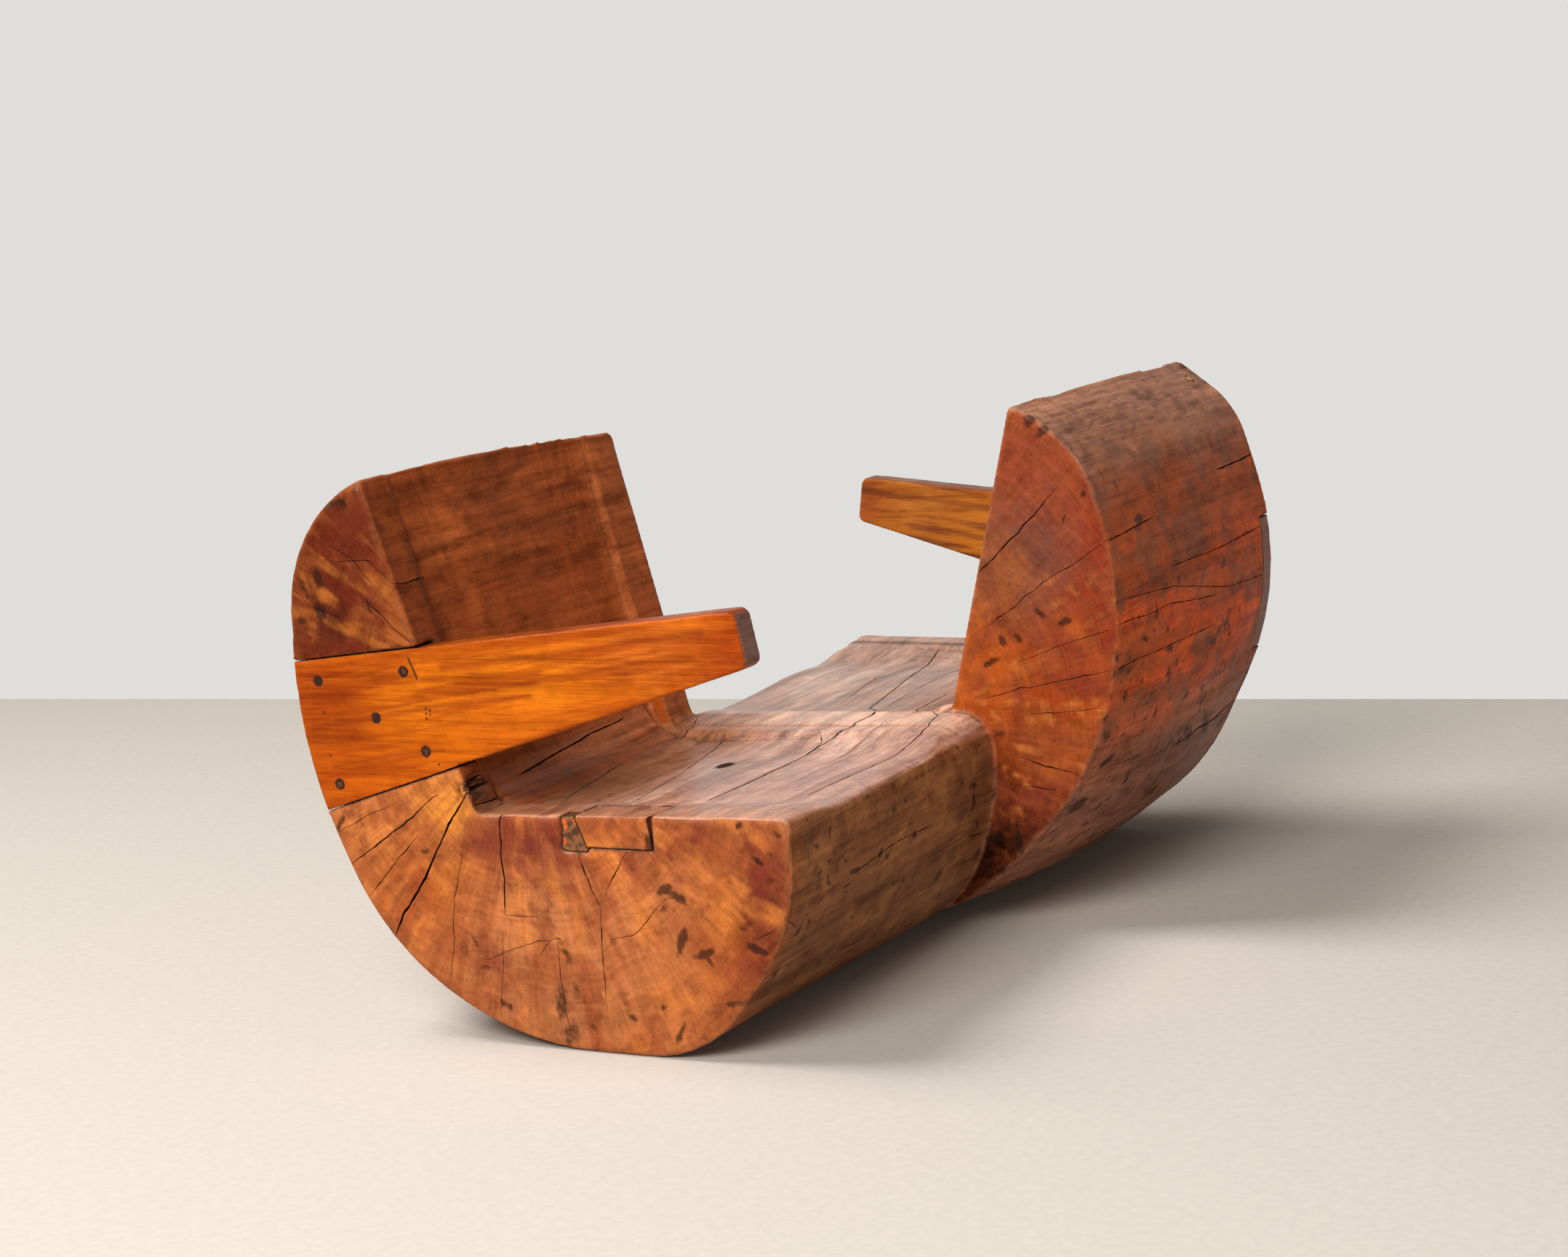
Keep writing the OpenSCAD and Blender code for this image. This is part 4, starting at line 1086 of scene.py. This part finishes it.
def log_material(name):
    t = Tree(name)
    place = t.place()
    base = t.attribute("base", "Color")
    crack, stain, crease_shade_and_joint, worn, end, seat = map(t.attribute, ("crack", "stain", "crease_shade_and_joint", "worn", "end", "seat"))
    # Growth rings and rays round the pith, which runs slanting through the log
    parts = t.node("ShaderNodeSeparateXYZ", {0: place})
    slope_y = (PITH_MID[0] - PITH_NEAR[0]) / HALF
    slope_z = (PITH_MID[1] - PITH_NEAR[1]) / HALF
    off_y = t.minus(parts.outputs[1], t.math("MULTIPLY_ADD", parts.outputs[0], slope_y, PITH_MID[0]))
    off_z = t.minus(parts.outputs[2], t.math("MULTIPLY_ADD", parts.outputs[0], slope_z, PITH_MID[1]))
    radius = t.math("SQRT", t.plus(t.times(off_y, off_y), t.times(off_z, off_z)))
    angle = t.math("ARCTAN2", off_y, t.times(off_z, -1.0))
    sway = t.noise(place, (1.5, 7, 7))
    ring_at = t.plus(radius, t.times(sway, 0.05))
    ring_place = t.node("ShaderNodeCombineXYZ", {0: t.times(ring_at, 170.0), 1: angle}).outputs[0]
    rings = t.noise(ring_place, detail=2.0)
    rays = t.noise(t.node("ShaderNodeCombineXYZ", {0: t.times(angle, 60.0), 1: t.times(radius, 9.0),
                                                   2: t.times(parts.outputs[0], 0.4)}).outputs[0], detail=3.0)
    check = t.math("ABSOLUTE", t.minus(rays, 0.5))
    where = t.range(t.noise(place, (4, 14, 14)), 0.48, 0.6)
    check = t.times(t.range(check, 0.008, 0.0, 0.0, 1.0), where)
    fibre = t.noise(place, (6, 170, 170), 4, 0.62)
    streak = t.noise(place, (1.6, 34, 34), 4, 0.6)
    mottle = t.noise(place, (24, 34, 34), 5, 0.64, distortion=0.6)
    fine = t.noise(place, (190, 190, 190), 4, 0.68)
    scratch = t.plus(t.noise(place, (3, 16, 380), 2, 0.5, (math.radians(40), 0, 0)),
                     t.noise(place, (3, 16, 340), 2, 0.5, (math.radians(-36), 0, 0)))
    mottle_tone = t.between(end, t.range(mottle, 0.32, 0.68, 0.74, 1.22),
                            t.range(mottle, 0.32, 0.68, 0.82, 1.15))
    tone = t.times(mottle_tone, t.range(fine, 0.25, 0.75, 0.86, 1.12))
    long_tone = t.times(t.range(fibre, 0.3, 0.7, 0.8, 1.16), t.range(streak, 0.34, 0.66, 0.74, 1.2))
    end_tone = t.times(t.range(rings, 0.34, 0.66, 0.9, 1.07), t.range(rays, 0.34, 0.66, 0.91, 1.07))
    end_tone = t.times(end_tone, t.range(scratch, 0.8, 1.2, 0.97, 1.02))
    tone = t.times(tone, t.between(end, long_tone, end_tone))
    colour = t.tinted(base, t.grey(tone))
    colour = t.mix(t.range(tone, 0.86, 0.52, 0.0, 0.55), colour, t.tinted(colour, (0.72, 0.5, 0.46)))
    colour = t.mix(t.range(tone, 1.05, 1.5, 0.0, 0.35), colour, t.tinted(colour, (1.04, 1.12, 1.0)))
    edge_noise = t.minus(t.noise(place, (110, 150, 150), 5, 0.72), 0.5)
    spot = t.range(t.math("MULTIPLY_ADD", edge_noise, 0.9, stain), 0.3, 0.8, 0.0, 0.92, smooth=True)
    colour = t.mix(spot, colour, t.mix(0.14, (0.026, 0.012, 0.008), colour))
    colour = t.mix(t.times(check, t.times(end, 0.75)), colour, (0.07, 0.026, 0.014))
    # Paler worn edges, which also carry a painted highlight along rounded edges
    rub_and_highlight = t.times(worn, t.range(t.noise(place, (30, 60, 60), 4, 0.7), 0.4, 0.62, 0.1, 0.75))
    colour = t.mix(rub_and_highlight, colour, (0.7, 0.38, 0.2))
    # Painted shade in hollows and creases, and the dark joints beside the planks and inlay, darken the colour
    # here
    shade_and_joint_dark = t.times(crease_shade_and_joint, t.range(mottle, 0.3, 0.6, 0.95, 0.55))
    colour = t.mix(shade_and_joint_dark, colour, (0.03, 0.019, 0.013))
    colour = t.mix(crack, colour, (0.01, 0.006, 0.004))
    gloss = t.range(t.noise(place, (10, 24, 24), 4), 0.3, 0.7, 0.3, 0.46)
    gloss = t.plus(gloss, t.times(t.most(crack, shade_and_joint_dark), 0.45), clamp=True)
    coat = t.times(t.times(seat, 0.6), t.range(mottle, 0.3, 0.7, 1.25, 0.6))
    coat = t.times(coat, t.minus(1.0, t.most(spot, t.most(crack, shade_and_joint_dark))), clamp=True)
    height = t.between(end, t.plus(fibre, t.times(streak, 0.7)),
                       t.plus(t.times(scratch, 0.35), t.times(rays, 0.3)))
    height = t.math("MULTIPLY_ADD", fine, 0.35, height)
    height = t.math("MULTIPLY_ADD", check, -0.6, height)
    more = {"IOR": 1.45, "Coat Weight": coat, "Coat Roughness": 0.26}
    return t.varnished(colour, gloss, height, 0.5, 0.0006, 0.03, more)


def plank_material():
    t = Tree("plank_wood")
    place = t.place()
    base = t.attribute("base", "Color")
    stain, worn = map(t.attribute, ("stain", "worn"))
    turn = (math.radians(9), 0, 0)
    fibre = t.noise(place, (60, 12, 420), 4, 0.66, turn)
    streak = t.noise(place, (12, 2.6, 80), 5, 0.62, turn)
    mottle = t.noise(place, (30, 22, 40), 5, 0.62, distortion=0.5)
    fine = t.noise(place, (200, 200, 200), 3, 0.6)
    tone = t.times(t.range(fibre, 0.3, 0.7, 0.8, 1.12), t.range(streak, 0.32, 0.68, 0.74, 1.16))
    tone = t.times(tone, t.range(mottle, 0.3, 0.7, 0.84, 1.12))
    colour = t.tinted(base, t.grey(tone))
    colour = t.mix(t.range(tone, 0.9, 0.55, 0.0, 0.6), colour, t.tinted(colour, (0.8, 0.45, 0.6)))
    colour = t.mix(t.range(tone, 1.0, 1.4, 0.0, 0.4), colour, t.tinted(colour, (1.0, 1.18, 1.0)))
    edge_noise = t.minus(t.noise(place, (150, 150, 150), 4, 0.7), 0.5)
    spot = t.range(t.math("MULTIPLY_ADD", edge_noise, 0.7, stain), 0.36, 0.62, 0.0, 0.85, smooth=True)
    colour = t.mix(spot, colour, (0.04, 0.018, 0.012))
    # Paler worn edges, which also carry a painted highlight along rounded edges
    rub_and_highlight = t.times(worn, t.range(fine, 0.4, 0.65, 0.1, 0.5))
    colour = t.mix(rub_and_highlight, colour, (0.66, 0.24, 0.07))
    gloss = t.range(mottle, 0.3, 0.7, 0.26, 0.4)
    height = t.plus(fibre, t.times(fine, 0.3))
    return t.varnished(colour, gloss, height, 0.35, 0.0005, 0.08, {"IOR": 1.45})


def small_part_material(name, roughness):
    t = Tree(name)
    place = t.place()
    fine = t.noise(place, (700, 700, 700), 4, 0.65)
    colour = t.tinted(t.attribute("base", "Color"), t.grey(t.range(fine, 0.3, 0.7, 0.7, 1.25)))
    return t.varnished(colour, roughness, fine, 0.5, 0.0004, 0.08)


# Put together

build_log(log_material("log_wood"))
build_inlay(log_material("inlay_wood"))
build_filler(small_part_material("filler", 0.6))
plank_wood = plank_material()
build_plank("near_plank", "near_armrest", -1, plank_wood)
build_plank("far_plank", "far_armrest", 1, plank_wood)
peg_wood = small_part_material("peg_wood", 0.5)
for node_name, peg_side, peg_y, peg_z, _, _ in list(peg_places()):
    build_peg(node_name + "_end", peg_side, peg_y, peg_z, node_name, peg_wood)
build_plug(small_part_material("plug_wood", 0.55))


# Stage, lights and camera

WALL_AT = Vector((1.758, 1.069, 0))
WALL_WAY = Vector((-0.104, 0.9946, 0))
FLOOR_COLOUR = (0.6, 0.545, 0.475)
WALL_COLOUR = (0.74, 0.73, 0.71)
# Camera as solved from the photograph: its place in metres, its turn, tilt and roll in degrees, and its
# lens and film width in mm
CAMERA_AT = (-4.30428, -2.34018, 1.32583)
CAMERA_TURN, CAMERA_TILT, CAMERA_ROLL = -60.75751, 80.54802, -4.61067
CAMERA_LENS, FILM_WIDTH = 68.98, 36
WORLD_LIGHT = 0.1


def floor_material():
    """A plain pale floor, with a faint mottling."""
    t = Tree("stage_floor")
    place = t.place()
    speck = t.range(t.noise(place, (60, 60, 60), 5, 0.7), 0.3, 0.7, 0.95, 1.05)
    colour = t.tinted(FLOOR_COLOUR, t.grey(speck))
    return t.finish(t.node("ShaderNodeBsdfDiffuse", {"Color": colour}).outputs[0])


def wall_material():
    """A plain pale backdrop, seen as it is and in reflections, which throws no light on the chair."""
    t = Tree("stage_wall")
    path = t.node("ShaderNodeLightPath")
    seen = t.most(path.outputs["Is Camera Ray"], path.outputs["Is Glossy Ray"])
    glow = t.node("ShaderNodeEmission", {"Color": WALL_COLOUR, "Strength": 1.0})
    diffuse = t.node("ShaderNodeBsdfDiffuse", {"Color": WALL_COLOUR})
    mix = t.node("ShaderNodeMixShader", {0: seen, 1: diffuse.outputs[0], 2: glow.outputs[0]})
    clear = t.node("ShaderNodeBsdfTransparent")
    back = t.node("ShaderNodeNewGeometry").outputs["Backfacing"]
    both = t.node("ShaderNodeMixShader", {0: back, 1: mix.outputs[0], 2: clear.outputs[0]})
    return t.finish(both.outputs[0])


def quad(name, corners):
    mesh = bpy.data.meshes.new(name)
    mesh.from_pydata(corners, [], [tuple(range(len(corners)))])
    obj = add_object(name, mesh)
    return obj


def area_light(name, direction, distance, size, level):
    """A soft light that gives a white surface at the middle of the chair about the given level."""
    target = Vector((0, 0, 0.35))
    data = bpy.data.lights.new(name, "AREA")
    data.shape = "RECTANGLE"
    data.size, data.size_y = size
    data.energy = level * math.pi ** 2 * distance ** 2
    obj = bpy.data.objects.new(name, data)
    bpy.context.scene.collection.objects.link(obj)
    obj.location = target + Vector(direction).normalized() * distance
    obj.rotation_mode = "QUATERNION"
    obj.rotation_quaternion = (target - obj.location).to_track_quat("-Z", "Y")


floor = quad("stage_floor", [(x * 14, y * 14, 0) for x, y in ((-1, -1), (1, -1), (1, 1), (-1, 1))])
floor.data.materials.append(floor_material())
foot = [WALL_AT + WALL_WAY * 9, WALL_AT - WALL_WAY * 9]
wall = quad("stage_wall", foot + [corner + Vector((0, 0, 8)) for corner in reversed(foot)])
wall.data.materials.append(wall_material())
wall.visible_shadow = False
wall.visible_diffuse = False

camera = bpy.data.objects.new("camera", bpy.data.cameras.new("camera"))
bpy.context.scene.collection.objects.link(camera)
bpy.context.scene.camera = camera
camera.data.sensor_width = FILM_WIDTH
camera.data.lens = CAMERA_LENS
camera.data.clip_end = 60
stand = Matrix.Translation(CAMERA_AT)
for axis, degrees in (("Z", CAMERA_TURN), ("X", CAMERA_TILT), ("Z", CAMERA_ROLL)):
    stand = stand @ Matrix.Rotation(math.radians(degrees), 4, axis)
camera.matrix_world = stand

area_light("key", (-0.2, 0.48, 0.85), 7.0, (3.2, 3.2), 0.94)
area_light("front", (-0.87, -0.13, 0.6), 7.0, (3.0, 3.0), 0.8)
area_light("fill", (-0.2, -0.96, 0.2), 6.0, (3.2, 1.8), 0.08)

world = bpy.data.worlds.new("world")
bpy.context.scene.world = world
world.use_nodes = True
world.node_tree.nodes["Background"].inputs[0].default_value = (1, 1, 1, 1)
world.node_tree.nodes["Background"].inputs[1].default_value = WORLD_LIGHT

bpy.context.scene.view_settings.view_transform = "Standard"
